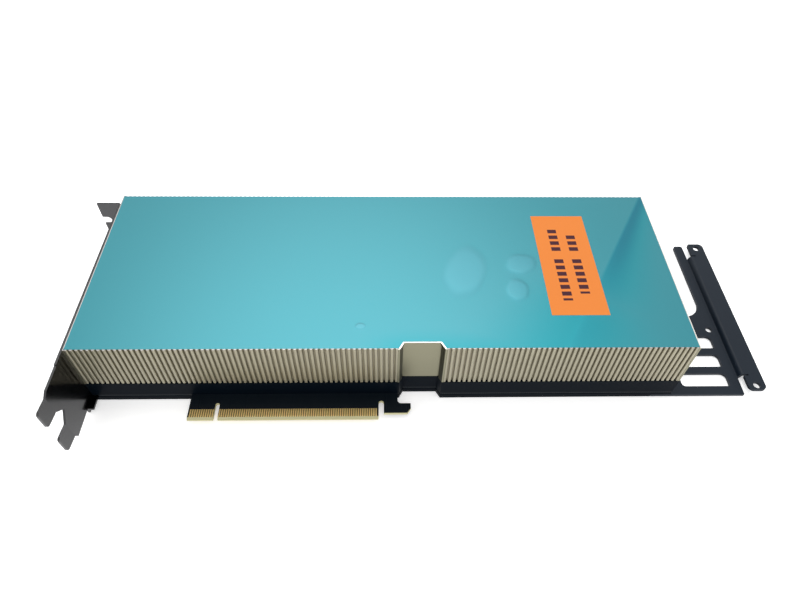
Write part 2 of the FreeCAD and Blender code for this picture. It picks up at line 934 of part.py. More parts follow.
def main():
    os.makedirs("parts", exist_ok=True)
    nodes = {
        "cover": make_cover(),
        "protective_film": make_film(),
        "film_label": make_label(),
        "base_frame": make_base_frame(),
        "circuit_board": make_board(),
        "edge_contacts": make_edge_contacts(),
        "backplate": make_backplate(),
        "clamp_screws": make_clamp_screws(),
        "package_substrate": make_substrate(),
        "package_stiffener": make_stiffener(),
        "processor_die": make_die(),
        "memory_stacks": make_memory(),
        "thermal_paste": make_paste(),
        "cold_plate": make_cold_plate(),
        "fin_pack": make_fins(),
        "power_inductors": make_inductors(),
        "thermal_pads": make_thermal_pads(),
        "power_stages": make_power_stages(),
        "bulk_capacitors": make_capacitors(),
        "input_chokes": make_input_chokes(),
        "power_inlet": make_inlet(),
        "power_inlet_pins": make_inlet_pins(),
        "io_bracket": make_io_bracket(),
        "io_bracket_screws": make_bracket_screws(),
        "tail_extender": make_extender(),
        "tail_extender_screw": make_extender_screw(),
    }
    for number, x in enumerate(bridge_centres(), start=1):
        nodes["bridge_cap_%d" % number] = make_bridge_cap(x)
    for name, shape in nodes.items():
        save(name, shape)


main()
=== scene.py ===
"""The looks of the passive accelerator card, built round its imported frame.

Lengths inside the classes are millimetres in the card's own frame, and MM turns them into metres.
"""

import logging
import math
from collections.abc import Callable, Iterable
from dataclasses import dataclass, field
from enum import Enum

import bmesh
import bpy
from mathutils import Matrix, Vector


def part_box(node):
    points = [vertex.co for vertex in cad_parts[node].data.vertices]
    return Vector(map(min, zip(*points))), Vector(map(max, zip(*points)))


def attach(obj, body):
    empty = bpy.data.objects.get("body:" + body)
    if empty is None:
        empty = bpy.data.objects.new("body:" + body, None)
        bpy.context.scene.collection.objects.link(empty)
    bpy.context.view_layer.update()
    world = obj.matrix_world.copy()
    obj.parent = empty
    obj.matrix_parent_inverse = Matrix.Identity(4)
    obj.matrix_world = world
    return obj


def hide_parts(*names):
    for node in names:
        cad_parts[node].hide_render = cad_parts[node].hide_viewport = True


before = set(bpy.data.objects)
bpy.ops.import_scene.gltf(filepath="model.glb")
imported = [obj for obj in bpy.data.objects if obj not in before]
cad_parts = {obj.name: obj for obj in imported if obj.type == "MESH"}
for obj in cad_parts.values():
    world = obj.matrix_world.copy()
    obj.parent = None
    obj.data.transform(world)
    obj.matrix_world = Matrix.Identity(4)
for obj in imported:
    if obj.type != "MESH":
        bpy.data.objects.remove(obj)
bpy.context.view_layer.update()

Color = tuple[float, float, float]
Point = tuple[float, float, float]
Place = tuple[float, float]
Outline = list[Place]
Socket = bpy.types.NodeSocket
Node = bpy.types.Node
Tree = bpy.types.NodeTree
Material = bpy.types.Material
Mesh = bpy.types.Mesh
Piece = bpy.types.Object
Draft = bmesh.types.BMesh
Ring = list[bmesh.types.BMVert]

log = logging.getLogger("scene")
MM = 0.001
BODY = "root"
RIB_DEPTH = 1.1
CLAMP_X = (-123.65, 128.85)

# Cycles per metre of drawn lines along X, Y and Z, for lines that run up and for lines that run along Y.
UPRIGHT_LINES = (2600, 2600, 50)
PLATE_LINES = (2600, 60, 2600)

# How much of a face's normal lies along an axis: at least UPWARD where the face looks up,
# and at least LEVEL where it is square to that axis.
UPWARD = 0.7
LEVEL = 0.97


# ---------------------------------------------------------------- options


class LongSide(Enum):
    """A long side of the card, as the sign of its outward Y."""

    CARD_EDGE = -1
    BRIDGE = 1


class Axis(Enum):
    """The direction in which a screw's head looks."""

    DOWN = "down"
    OUT_OF_BRACKET = "out of the bracket"


# ---------------------------------------------------------------- node trees


class NodeBuilder:
    """Short words for the nodes that the materials, groups and copies are wired from."""

    def __init__(self, tree: Tree) -> None:
        """Works on a tree."""
        self.tree = tree

    def feed(self, node: Node, inputs: dict[str | int, object]) -> Node:
        """Feeds a node's inputs.

        Args:
            node: The node to feed.
            inputs: Sockets to link or plain values to set, by the input's name or number.

        Returns:
            The same node.
        """
        for key, value in inputs.items():
            if isinstance(value, Socket):
                self.tree.links.new(value, node.inputs[key])
            else:
                node.inputs[key].default_value = value
        return node

    def add(self, kind: str, inputs: dict[str | int, object] | None = None, **settings: object) -> Node:
        """Adds a node.

        Args:
            kind: The node's type name, such as ShaderNodeMath.
            inputs: What its inputs are fed.
            settings: Properties of the node to set.

        Returns:
            The new node.
        """
        node = self.tree.nodes.new(kind)
        for name, value in settings.items():
            setattr(node, name, value)
        return self.feed(node, inputs or {})

    def math(self, operation: str, *values: object) -> Socket:
        """Gives a Math node's result for values."""
        return self.add("ShaderNodeMath", dict(enumerate(values)), operation=operation).outputs[0]

    def ramp(self, value: object, low: float, high: float) -> Socket:
        """Gives a value that goes softly from 0 where value is at low to 1 where it is at high."""
        span = {"Value": value, "From Min": low, "From Max": high}
        return self.add("ShaderNodeMapRange", span, interpolation_type="SMOOTHSTEP").outputs["Result"]

    def blend(self, factor: object, first: object, second: object) -> Socket:
        """Mixes two colours.

        Args:
            factor: Share of the second colour.
            first: A colour with its alpha, or a socket.
            second: A colour with its alpha, or a socket.

        Returns:
            The mixed colour.
        """
        node = self.add("ShaderNodeMix", {"Factor": factor}, data_type="RGBA")
        colors = [index for index, socket in enumerate(node.inputs) if socket.type == "RGBA"]
        self.feed(node, dict(zip(colors, (first, second))))
        return next(socket for socket in node.outputs if socket.type == "RGBA")

    def place(self, size: Point = (1, 1, 1), middle: Point = (0, 0, 0), turn: float = 0.0) -> Socket:
        """Gives object coordinates round a middle.

        Args:
            size: Length in metres that becomes 1, along each axis.
            middle: The place that becomes 0, in metres.
            turn: Turn about Z in radians.

        Returns:
            The coordinates.
        """
        values = {
            "Vector": self.add("ShaderNodeTexCoord").outputs["Object"],
            "Location": middle,
            "Rotation": (0, 0, turn),
            "Scale": size,
        }
        return self.add("ShaderNodeMapping", values, vector_type="TEXTURE").outputs["Vector"]

    def split(self, vector: Socket) -> tuple[Socket, ...]:
        """Gives the X, Y and Z of a vector."""
        return tuple(self.add("ShaderNodeSeparateXYZ", {0: vector}).outputs)

    def noise(self, vector: Socket, scale: object, detail: float) -> Socket:
        """Gives soft noise round 0.5."""
        values = {"Vector": vector, "Scale": scale, "Detail": detail}
        return self.add("ShaderNodeTexNoise", values).outputs["Fac"]

    def bump(self, height: object, distance: float, strength: float) -> Socket:
        """Gives a normal bent by a height, distance metres high."""
        values = {"Height": height, "Distance": distance, "Strength": strength}
        return self.add("ShaderNodeBump", values).outputs["Normal"]


class EffectGroup(NodeBuilder):
    """A shader node group for an effect that several materials share."""

    def __init__(self, name: str, inputs: dict[str, tuple[str, object]]) -> None:
        """Starts a group.

        Args:
            name: The group's name.
            inputs: The kind of each input, such as Float, Color or Vector, and its value.
        """
        super().__init__(bpy.data.node_groups.new(name, "ShaderNodeTree"))
        for label, (kind, value) in inputs.items():
            socket = self.tree.interface.new_socket(label, in_out="INPUT", socket_type="NodeSocket" + kind)
            socket.default_value = value
        self.given = self.add("NodeGroupInput")
        self.sink = self.add("NodeGroupOutput")

    def give(self, name: str, kind: str, value: Socket) -> None:
        """Adds an output socket and feeds it."""
        self.tree.interface.new_socket(name, in_out="OUTPUT", socket_type="NodeSocket" + kind)
        self.feed(self.sink, {name: value})


def make_speckle() -> Tree:
    """Makes a powdery grain.

    Returns:
        A group that gives a varied colour, a varied roughness and a height.
    """
    group = EffectGroup("speckle", {
        "Color": ("Color", (0.5, 0.5, 0.5, 1)),
        "Scale": ("Float", 900.0),
        "Color Spread": ("Float", 0.12),
        "Roughness": ("Float", 0.4),
        "Roughness Spread": ("Float", 0.1),
    })
    given = group.given.outputs
    broad_scale = 28.0
    fine = group.noise(group.place(), given["Scale"], 3.0)
    broad = group.noise(group.place(), broad_scale, 2.0)
    swing = group.math("SUBTRACT", group.math("ADD", fine, broad), 1.0)
    value = group.math("MULTIPLY_ADD", swing, given["Color Spread"], 1.0)
    tint = group.add("ShaderNodeHueSaturation", {"Value": value, "Color": given["Color"]})
    rough = group.math("MULTIPLY_ADD", swing, given["Roughness Spread"], given["Roughness"])
    group.give("Color", "Color", tint.outputs["Color"])
    group.give("Roughness", "Float", rough)
    group.give("Height", "Float", fine)
    return group.tree


def make_drawn() -> Tree:
    """Makes the fine parallel lines left by drawing, brushing or rolling a metal.

    Returns:
        A group that gives a mask of the lines.
    """
    group = EffectGroup("drawn lines", {"Lines": ("Vector", (3000.0, 3000.0, 60.0))})
    place = group.add("ShaderNodeTexCoord").outputs["Object"]
    values = {0: place, 1: group.given.outputs["Lines"]}
    stretched = group.add("ShaderNodeVectorMath", values, operation="MULTIPLY").outputs[0]
    group.give("Lines", "Float", group.noise(stretched, 1.0, 3.0))
    return group.tree


@dataclass(frozen=True)
class Effects:
    """The shared effect groups."""

    speckle: Tree
    drawn: Tree


def start_material(name: str) -> tuple[Material, NodeBuilder, Node]:
    """Starts a node material.

    Args:
        name: The material's name.

    Returns:
        The material, its node builder and its principled shader.
    """
    material = bpy.data.materials.new(name)
    material.use_nodes = True
    return material, NodeBuilder(material.node_tree), material.node_tree.nodes["Principled BSDF"]


# ---------------------------------------------------------------- finishes


@dataclass(frozen=True)
class Grain:
    """A powdery grain.

    Attributes:
        scale: Cycles per metre.
        spread: How far it changes the colour.
        roughness: Mean roughness.
        roughness_spread: How far it changes the roughness.
    """

    scale: float
    spread: float
    roughness: float
    roughness_spread: float

    def lay(self, wires: NodeBuilder, effects: Effects, color: object) -> Node:
        """Adds the grain to a material.

        Args:
            wires: The material's node builder.
            effects: The shared effect groups.
            color: The colour under the grain, with its alpha, or a socket.

        Returns:
            A node that gives a colour, a roughness and a height.
        """
        values = {
            "Color": color,
            "Scale": self.scale,
            "Color Spread": self.spread,
            "Roughness": self.roughness,
            "Roughness Spread": self.roughness_spread,
        }
        return wires.add("ShaderNodeGroup", values, node_tree=effects.speckle)


@dataclass(frozen=True)
class Finish:
    """A surface finish with a powdery grain and, on drawn metal, fine lines.

    Attributes:
        name: The material's name.
        color: Base colour.
        metallic: 1 for bare metal.
        roughness: Mean roughness.
        specular: Specular level of a surface that isn't metal.
        grain: Scale of the grain, in cycles per metre.
        spread: How far the grain changes colour and roughness.
        bump: Height of the grain in metres.
        bump_strength: Strength of the grain and the lines.
        lines: Cycles per metre of drawn lines along X, Y and Z, or None.
        line_depth: Height of the drawn lines in metres.
    """

    name: str
    color: Color
    metallic: float = 0.0
    roughness: float = 0.45
    specular: float = 0.5
    grain: float = 900.0
    spread: float = 0.12
    bump: float = 0.00002
    bump_strength: float = 0.35
    lines: Point | None = None
    line_depth: float = 0.000004

    def build(self, effects: Effects) -> Material:
        """Makes the material.

        Args:
            effects: The shared effect groups.

        Returns:
            A node material whose principled shader is driven by the grain.
        """
        material, wires, shader = start_material(self.name)
        grain = Grain(self.grain, self.spread, self.roughness, self.spread)
        powder = grain.lay(wires, effects, (*self.color, 1)).outputs
        height = powder["Height"]
        if self.lines:
            drawn = wires.add("ShaderNodeGroup", {"Lines": self.lines}, node_tree=effects.drawn)
            share = wires.math("MULTIPLY", drawn.outputs["Lines"], self.line_depth / self.bump)
            height = wires.math("ADD", height, share)
        wires.feed(shader, {
            "Metallic": self.metallic,
            "Specular IOR Level": self.specular,
            "Base Color": powder["Color"],
            "Roughness": powder["Roughness"],
            "Normal": wires.bump(height, self.bump, self.bump_strength),
        })
        return material


@dataclass(frozen=True)
class Blister:
    """A pocket of air under the film.

    Attributes:
        x: Middle along X.
        y: Middle along Y.
        half_x: Half length along its own X.
        half_y: Half length along its own Y.
        turn: Turn about Z in radians.
        reach: Distance at which the film lies flat again, as a share of the half lengths.
    """

    x: float
    y: float
    half_x: float
    half_y: float
    turn: float = 0.0
    reach: float = 1.15


@dataclass(frozen=True)
class Crease:
    """A fold of the film that widens from the far corner to the near side.

    Attributes:
        start: Where it starts, at the far corner.
        end: Where it ends, at the near side.
        widening: How much wider it is at its end.
        narrowest: Least width, as a share of its width at the start.
        sharp: Distances across it between which its sharp side rises.
        soft: Distances across it between which its soft side rises.
    """

    start: Place = (132.2, 46.5)
    end: Place = (83.5, -38.5)
    widening: float = 3.2
    narrowest: float = 0.5
    sharp: Place = (-1.8, 0.2)
    soft: Place = (4.6, 0.4)

    @property
    def length(self) -> float:
        """From its start to its end."""
        return math.dist(self.start, self.end)

    @property
    def turn(self) -> float:
        """Its direction, as an angle from X."""
        return math.atan2(self.end[1] - self.start[1], self.end[0] - self.start[0])


@dataclass(frozen=True)
class FilmFinish:
    """Tinted protective film on brushed metal, with a fold and trapped air; its colour holds painted shade
    in the fold and on the pockets' near rims, and a painted dimmer reflection beside the fold and along the
    near side.

    Attributes:
        name: The material's name.
        tint: Colour of the film over the metal.
        dimmed_color: Colour of the painted dimmer reflection, where the film is drawn mirroring less of the
            room.
        shade: Colour of the painted shade in the trough of the fold.
        air: Colour over trapped air.
        air_share: How much of that colour shows.
        rim: Colour of the painted shade on the near rim of a pocket.
        rim_share: How much of that colour shows.
        metallic: How much the metal under the film shows.
        coat: Weight of the clear coat outside the dimmed reflection.
        coat_loss: How much of that weight goes where the reflection is dimmed.
        coat_roughness: Roughness of the clear coat.
        grain: The film's faint grain.
        bump: Height of the air pockets in metres.
        crease: The fold.
        blisters: The air pockets.
    """

    name: str = "blue_green_film"
    tint: Color = (0.022, 0.212, 0.254)
    dimmed_color: Color = (0.002, 0.219, 0.262)
    shade: Color = (0.001, 0.148, 0.206)
    air: Color = (0.35, 0.66, 0.90)
    air_share: float = 0.04
    rim: Color = (0.001, 0.11, 0.16)
    rim_share: float = 0.12
    metallic: float = 0.55
    coat: float = 0.28
    coat_loss: float = 0.24
    coat_roughness: float = 0.05
    grain: Grain = Grain(420.0, 0.012, 0.30, 0.02)
    bump: float = 0.00007
    crease: Crease = Crease()
    blisters: tuple[Blister, ...] = (
        Blister(36.8, -4.0, 9.5, 16.0, -0.25),
        Blister(63.5, 0.5, 7.2, 6.2, 0.3),
        Blister(59.8, -15.5, 5.0, 6.6),
        Blister(-10.8, -36.0, 2.2, 1.6),
    )

    def build(self, effects: Effects) -> Material:
        """Makes the material.

        Args:
            effects: The shared effect groups.

        Returns:
            A node material with masks for the fold's painted shade, the painted dimmer reflection and the
            trapped air.
        """
        material, wires, shader = start_material(self.name)
        fold, dimming = self.fold(wires)
        air, rim = self.pockets(wires)
        # Painted light: a dimmer reflection beside the fold and along the near side, and shade in the fold's
        # trough and on the pockets' near rims.
        color = wires.blend(dimming, (*self.tint, 1), (*self.dimmed_color, 1))
        color = wires.blend(fold, color, (*self.shade, 1))
        color = wires.blend(wires.math("MULTIPLY", air, self.air_share), color, (*self.air, 1))
        color = wires.blend(wires.math("MULTIPLY", rim, self.rim_share), color, (*self.rim, 1))
        powder = self.grain.lay(wires, effects, color).outputs
        wires.feed(shader, {
            "Metallic": self.metallic,
            "Coat Roughness": self.coat_roughness,
            "Coat Weight": wires.math("MULTIPLY_ADD", dimming, -self.coat_loss, self.coat),
            "Base Color": powder["Color"],
            "Roughness": powder["Roughness"],
            "Normal": wires.bump(air, self.bump, 1.0),
        })
        return material

    def fold(self, wires: NodeBuilder) -> tuple[Socket, Socket]:
        """Masks the fold's painted shade and the painted dimmer reflection beside it.

        Args:
            wires: The material's node builder.

        Returns:
            A mask of the fold's painted shade, sharp on the bracket side and faint at its end, and one of
            the painted dimmer reflection.
        """
        crease = self.crease
        length = crease.length * MM
        start = (crease.start[0] * MM, crease.start[1] * MM, 0)
        along, across, _ = wires.split(wires.place(middle=start, turn=crease.turn))
        width = wires.math("MULTIPLY_ADD", along, crease.widening / length, 1.0)
        spread = wires.math("DIVIDE", across, wires.math("MAXIMUM", width, crease.narrowest))
        rise = wires.ramp(across, *(edge * MM for edge in crease.sharp))
        fade = wires.ramp(spread, *(edge * MM for edge in crease.soft))
        whole_until, faint_from, faint = 0.3 * length, 0.9 * length, 0.15
        depth = wires.math("MULTIPLY_ADD", wires.ramp(along, faint_from, whole_until), 1 - faint, faint)
        fold = wires.math("MULTIPLY", wires.math("MULTIPLY", rise, fade), depth)
        # Width of the painted dimmer reflection beside the fold, and its reach on the fold's sharp side.
        dimming_width, sharp_width = 10.0 * MM, 14.0 * MM
        turning_from, turning_to = 0.6 * length, 0.95 * length
        beside = wires.ramp(across, -sharp_width, 0.0)
        reach = wires.math("MULTIPLY", beside, wires.ramp(along, turning_to, turning_from))
        near_end = wires.ramp(along, turning_from, turning_to)
        reach = wires.math("MAXIMUM", wires.math("MULTIPLY", rise, reach), near_end)
        dimming = wires.math("MULTIPLY", wires.ramp(wires.math("ABSOLUTE", spread), dimming_width, 0.0), reach)
        return fold, wires.math("MAXIMUM", dimming, self.edge_dimming(wires))

    def edge_dimming(self, wires: NodeBuilder) -> Socket:
        """Masks the painted dimmer reflection along the near side, from before the notch to the fold.

        Args:
            wires: The material's node builder.

        Returns:
            The mask.
        """
        x, y, _ = wires.split(wires.place())
        near = wires.ramp(y, -36 * MM, -49 * MM)
        start = wires.ramp(x, -14 * MM, 10 * MM)
        end = wires.ramp(x, 112 * MM, 84 * MM)
        strength = 0.7
        faded = wires.math("MULTIPLY", end, strength)
        return wires.math("MULTIPLY", wires.math("MULTIPLY", near, start), faded)

    def pockets(self, wires: NodeBuilder) -> tuple[Socket, Socket]:
        """Masks the trapped air.

        Args:
            wires: The material's node builder.

        Returns:
            A mask of the pockets and one of the painted shade on their near rims.
        """
        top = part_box("protective_film")[1][2]
        wobble_scale, wobble = 0.9, 0.36
        full, ring_from, ring_at, ring_to = 0.70, 0.80, 1.0, 1.2
        ring_fades, ring_whole = 0.3, -0.6
        air: Socket | float = 0.0
        rim: Socket | float = 0.0
        for spot in self.blisters:
            size = (spot.half_x * MM, spot.half_y * MM, 1.0)
            near = wires.place(size, (spot.x * MM, spot.y * MM, top), spot.turn)
            uneven = wires.math("MULTIPLY_ADD", wires.noise(near, wobble_scale, 0.0), wobble, -wobble / 2)
            distance = wires.add("ShaderNodeVectorMath", {0: near}, operation="LENGTH").outputs["Value"]
            away = wires.math("ADD", distance, uneven)
            air = wires.math("MAXIMUM", air, wires.ramp(away, spot.reach, full))
            inside, outside = wires.ramp(away, ring_from, ring_at), wires.ramp(away, ring_to, ring_at)
            # Painted shade on the near side of each pocket's rim.
            near_side = wires.ramp(wires.split(near)[1], ring_fades, ring_whole)
            ring = wires.math("MULTIPLY", wires.math("MULTIPLY", inside, outside), near_side)
            rim = wires.math("MAXIMUM", rim, ring)
        return air, rim


@dataclass(frozen=True)
class LabelFinish:
    """Orange paper with two printed rows of plain blocks.

    Attributes:
        name: The material's name.
        paper: Colour of the paper.
        ink: Colour of the blocks.
        rows: X of each row's middle and the (start, end) Y of its runs of blocks.
        block: Length of a block along X.
        pitch: Spacing of the blocks along Y.
        filled: Share of the pitch that a block fills.
        soft: Width over which the ink's edge fades.
        grain: The paper's grain.
        bump: Height of the grain in metres.
        bump_strength: Strength of the grain.
        specular: Specular level of the paper.
    """

    name: str = "orange_label"
    paper: Color = (0.705, 0.203, 0.030)
    ink: Color = (0.050, 0.006, 0.014)
    rows: tuple[tuple[float, tuple[Place, ...]], ...] = (
        (81.8, ((-22.0, 4.0), (8.0, 24.0))),
        (90.3, ((-18.0, 4.0), (8.0, 20.0))),
    )
    block: float = 4.2
    pitch: float = 4.0
    filled: float = 0.62
    soft: float = 0.15
    grain: Grain = Grain(1400.0, 0.05, 0.5, 0.1)
    bump: float = 0.00002
    bump_strength: float = 0.4
    specular: float = 0.2

    def build(self, effects: Effects) -> Material:
        """Makes the material.

        Args:
            effects: The shared effect groups.

        Returns:
            A node material with the blocks drawn on the paper.
        """
        material, wires, shader = start_material(self.name)
        powder = self.grain.lay(
            wires, effects, wires.blend(self.print_mask(wires), (*self.paper, 1), (*self.ink, 1))
        ).outputs
        wires.feed(shader, {
            "Specular IOR Level": self.specular,
            "Base Color": powder["Color"],
            "Roughness": powder["Roughness"],
            "Normal": wires.bump(powder["Height"], self.bump, self.bump_strength),
        })
        return material

    def print_mask(self, wires: NodeBuilder) -> Socket:
        """Masks the printed blocks.

        Args:
            wires: The material's node builder.

        Returns:
            The mask.
        """
        x, y, _ = wires.split(wires.place())
        gap = (1 - self.filled) * self.pitch / 2
        beat = wires.math("PINGPONG", y, self.pitch / 2 * MM)
        block = wires.ramp(beat, (gap - self.soft) * MM, (gap + self.soft) * MM)
        ink: Socket | float = 0.0
        for middle, runs in self.rows:
            in_row = wires.math("MULTIPLY", block, self.near(wires, x, middle, self.block / 2))
            for start, end in runs:
                along = self.near(wires, y, (start + end) / 2, (end - start) / 2)
                ink = wires.math("MAXIMUM", ink, wires.math("MULTIPLY", in_row, along))
        return ink

    def near(self, wires: NodeBuilder, value: Socket, middle: float, half: float) -> Socket:
        """Masks where a coordinate is within half of middle."""
        off = wires.math("ABSOLUTE", wires.math("SUBTRACT", value, middle * MM))
        return wires.ramp(off, (half + self.soft) * MM, half * MM)


@dataclass(frozen=True)
class GroovedFinish:
    """The anodised cover where it is ribbed, with painted shade that darkens it down in the grooves.

    Attributes:
        name: The material's name.
        crest: Colour of the crests.
        groove: Colour of the painted shade at the bottom of a groove.
        bright: Depth below the crests, as a share of the ribs', down to which their colour holds.
        metallic: How metallic the coat looks.
        lines: Cycles per metre of drawn lines along X, Y and Z.
        line_depth: Height of the drawn lines in metres.
        line_strength: Strength of the drawn lines.
        grain: The coat's grain.
    """

    name: str = "grooved_cover"
    crest: Color = (0.315, 0.292, 0.212)
    groove: Color = (0.228, 0.203, 0.140)
    bright: float = 0.3
    metallic: float = 0.55
    lines: Point = UPRIGHT_LINES
    line_depth: float = 0.000004
    line_strength: float = 0.35
    grain: Grain = Grain(1600.0, 0.06, 0.38, 0.06)

    def build(self, effects: Effects) -> Material:
        """Makes the material.

        Args:
            effects: The shared effect groups.

        Returns:
            A node material whose colour darkens with depth in the grooves, as painted shade.
        """
        material, wires, shader = start_material(self.name)
        crest_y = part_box("cover")[1][1]
        out = wires.math("ABSOLUTE", wires.split(wires.place())[1])
        # Painted shade: from the crests' colour to a darker one towards the bottom of the grooves.
        height = wires.ramp(out, crest_y - RIB_DEPTH * MM, crest_y - self.bright * RIB_DEPTH * MM)
        color = wires.blend(height, (*self.groove, 1), (*self.crest, 1))
        powder = self.grain.lay(wires, effects, color).outputs
        drawn = wires.add("ShaderNodeGroup", {"Lines": self.lines}, node_tree=effects.drawn)
        wires.feed(shader, {
            "Metallic": self.metallic,
            "Base Color": powder["Color"],
            "Roughness": powder["Roughness"],
            "Normal": wires.bump(drawn.outputs["Lines"], self.line_depth, self.line_strength),
        })
        return material


@dataclass(frozen=True)
class BoardFinish:
    """Dark solder mask over copper lines that fan out from the contacts.

    Attributes:
        name: The material's name.
        mask: Colour of the solder mask.
        raised: Colour of the mask over copper.
        pitch: Spacing of the lines.
        straight: Y up to which the lines run straight, from the contacts inwards.
        fans: Length along X over which the lines lean one way.
        lean: Greatest slope of a line.
        steps: How finely the slopes differ.
        edge: Heights of the wave between which a line's edge rises.
        thickness: Height of the copper, as a multiple of the grain's.
        grain: The mask's grain.
        bump: Height of the grain in metres.
        bump_strength: Strength of the grain and the copper.
        specular: Specular level of the mask.
    """

    name: str = "board_laminate"
    mask: Color = (0.0028, 0.0052, 0.0085)
    raised: Color = (0.011, 0.016, 0.021)
    pitch: float = 1.0
    straight: float = -55.2
    fans: float = 14.0
    lean: float = 1.1
    steps: float = 1.6
    edge: Place = (0.35, 0.75)
    thickness: float = 1.5
    grain: Grain = Grain(700.0, 0.2, 0.32, 0.1)
    bump: float = 0.00002
    bump_strength: float = 0.6
    specular: float = 0.08

    def build(self, effects: Effects) -> Material:
        """Makes the material.

        Args:
            effects: The shared effect groups.

        Returns:
            A node material with the lines raised under the mask.
        """
        material, wires, shader = start_material(self.name)
        line = self.line_mask(wires)
        color = wires.blend(line, (*self.mask, 1), (*self.raised, 1))
        powder = self.grain.lay(wires, effects, color).outputs
        height = wires.math("MULTIPLY_ADD", line, self.thickness, powder["Height"])
        wires.feed(shader, {
            "Specular IOR Level": self.specular,
            "Base Color": powder["Color"],
            "Roughness": powder["Roughness"],
            "Normal": wires.bump(height, self.bump, self.bump_strength),
        })
        return material

    def line_mask(self, wires: NodeBuilder) -> Socket:
        """Masks the copper lines.

        Args:
            wires: The material's node builder.

        Returns:
            The mask.
        """
        x, y, _ = wires.split(wires.place())
        past = wires.math("MAXIMUM", wires.math("SUBTRACT", y, self.straight * MM), 0.0)
        fan = wires.math("SINE", wires.math("MULTIPLY", x, math.tau / (self.fans * MM)))
        step = wires.math("ROUND", wires.math("MULTIPLY", fan, self.steps))
        slope = wires.math("MULTIPLY", step, self.lean / self.steps)
        drift = wires.math("ADD", x, wires.math("MULTIPLY", past, slope))
        wave = wires.math("SINE", wires.math("MULTIPLY", drift, math.tau / (self.pitch * MM)))
        return wires.ramp(wave, *self.edge)


FILM = FilmFinish()
FINISHES = (
    Finish("anodised_cover", (0.228, 0.218, 0.150), 0.9, 0.36, grain=1600, spread=0.05, lines=UPRIGHT_LINES),
    # notch_slope is a darker copy of anodised_cover: painted shade for the notch's sloped ends and a thin
    # strip of the top at the bracket end.
    Finish("notch_slope", (0.064, 0.064, 0.040), 0.9, 0.36, grain=1600, spread=0.05, lines=UPRIGHT_LINES),
    # A darker copy of milled_edge, with the same roughness: painted shade that dims the glint of the rib
    # tops and of the top near the bracket.
    Finish("shaded_edge", (0.46, 0.44, 0.43), 0.8, 0.30, grain=1600, spread=0.04),
    Finish("milled_edge", (0.74, 0.71, 0.65), 0.8, 0.30, grain=1600, spread=0.04),
    Finish("black_coat", (0.0022, 0.0045, 0.0080), roughness=0.42, specular=0.025, grain=2600, spread=0.15),
    Finish("extender_coat", (0.009, 0.015, 0.024), roughness=0.42, specular=0.16, grain=2600, spread=0.15),
    Finish("bracket_steel", (0.074, 0.074, 0.076), 1.0, 0.18, grain=1800, spread=0.08, lines=PLATE_LINES),
    Finish("laminate_edge", (0.50, 0.47, 0.27), roughness=0.7, grain=1200, spread=0.12),
    Finish("gold_contact", (0.92, 0.69, 0.30), 1.0, 0.30, grain=900, spread=0.05, lines=(2600, 90, 2600)),
    Finish("black_screw", (0.05, 0.05, 0.055), 1.0, 0.32, grain=1500, spread=0.08),
    Finish("fin_aluminium", (0.70, 0.71, 0.72), 1.0, 0.34, grain=500, spread=0.06, lines=(40, 2600, 2600)),
    Finish("plate_copper", (0.72, 0.37, 0.22), 1.0, 0.30, grain=500, spread=0.06, lines=PLATE_LINES),
    Finish("package_laminate", (0.02, 0.08, 0.04), roughness=0.5),
    Finish("stiffener_steel", (0.55, 0.56, 0.57), 1.0, 0.36, grain=800, spread=0.06),
    Finish("silicon", (0.07, 0.08, 0.10), roughness=0.12, grain=300, spread=0.05),
    Finish("grey_paste", (0.42, 0.44, 0.46), roughness=0.85, grain=700),
    Finish("pad_silicone", (0.34, 0.42, 0.50), roughness=0.8, grain=900),
    Finish("ferrite", (0.045, 0.045, 0.048), roughness=0.6, grain=1300, spread=0.2),
    Finish("chip_plastic", (0.014, 0.014, 0.016), roughness=0.5, grain=1500, spread=0.2),
    Finish("capacitor_plastic", (0.34, 0.16, 0.05), roughness=0.45, grain=1500, spread=0.1),
    Finish("inlet_plastic", (0.010, 0.010, 0.012), roughness=0.5, specular=0.22, grain=1500, spread=0.2),
    Finish("cap_plastic", (0.008, 0.008, 0.009), roughness=0.5, specular=0.14, grain=1800, spread=0.2),
)


class Palette:
    """All materials of the card by name."""

    def __init__(self) -> None:
        """Builds the effect groups and the materials."""
        effects = Effects(make_speckle(), make_drawn())
        finishes = (*FINISHES, FILM, LabelFinish(), GroovedFinish(), BoardFinish())
        self.materials = {finish.name: finish.build(effects) for finish in finishes}

    def __getitem__(self, name: str) -> Material:
        """Gives the material called name."""
        return self.materials[name]

    def fill(self, mesh: Mesh, *names: str) -> None:
        """Makes the named materials a mesh's only ones, which sets its faces back to the first.

        Args:
            mesh: The mesh.
            names: The materials, in order.
        """
        mesh.materials.clear()
        for name in names:
            mesh.materials.append(self[name])


# ---------------------------------------------------------------- mesh tools


def add_prism(bm: Draft, outline: Outline, low: float, high: float) -> None:
    """Adds a closed upright prism.

    Args:
        bm: The mesh that grows.
        outline: The plan outline in millimetres.
        low: Height of the bottom.
        high: Height of the top.
    """
    rings = [[bm.verts.new((x * MM, y * MM, z * MM)) for x, y in outline] for z in (low, high)]
    add_walls(bm, rings)


def add_box(bm: Draft, low: Point, high: Point) -> None:
    """Adds a block between two corners."""
    plan = [(low[0], low[1]), (high[0], low[1]), (high[0], high[1]), (low[0], high[1])]
    add_prism(bm, plan, low[2], high[2])


def add_walls(bm: Draft, rings: list[Ring]) -> None:
    """Joins rings by walls and closes both ends.

    Args:
        bm: The mesh that grows.
        rings: Rings of equal length, in order.
    """
    count = len(rings[0])
    for lower, upper in zip(rings, rings[1:]):
        for i in range(count):
            j = (i + 1) % count
            bm.faces.new((lower[i], lower[j], upper[j], upper[i]))
    bm.faces.new(rings[0][::-1])
    bm.faces.new(rings[-1])


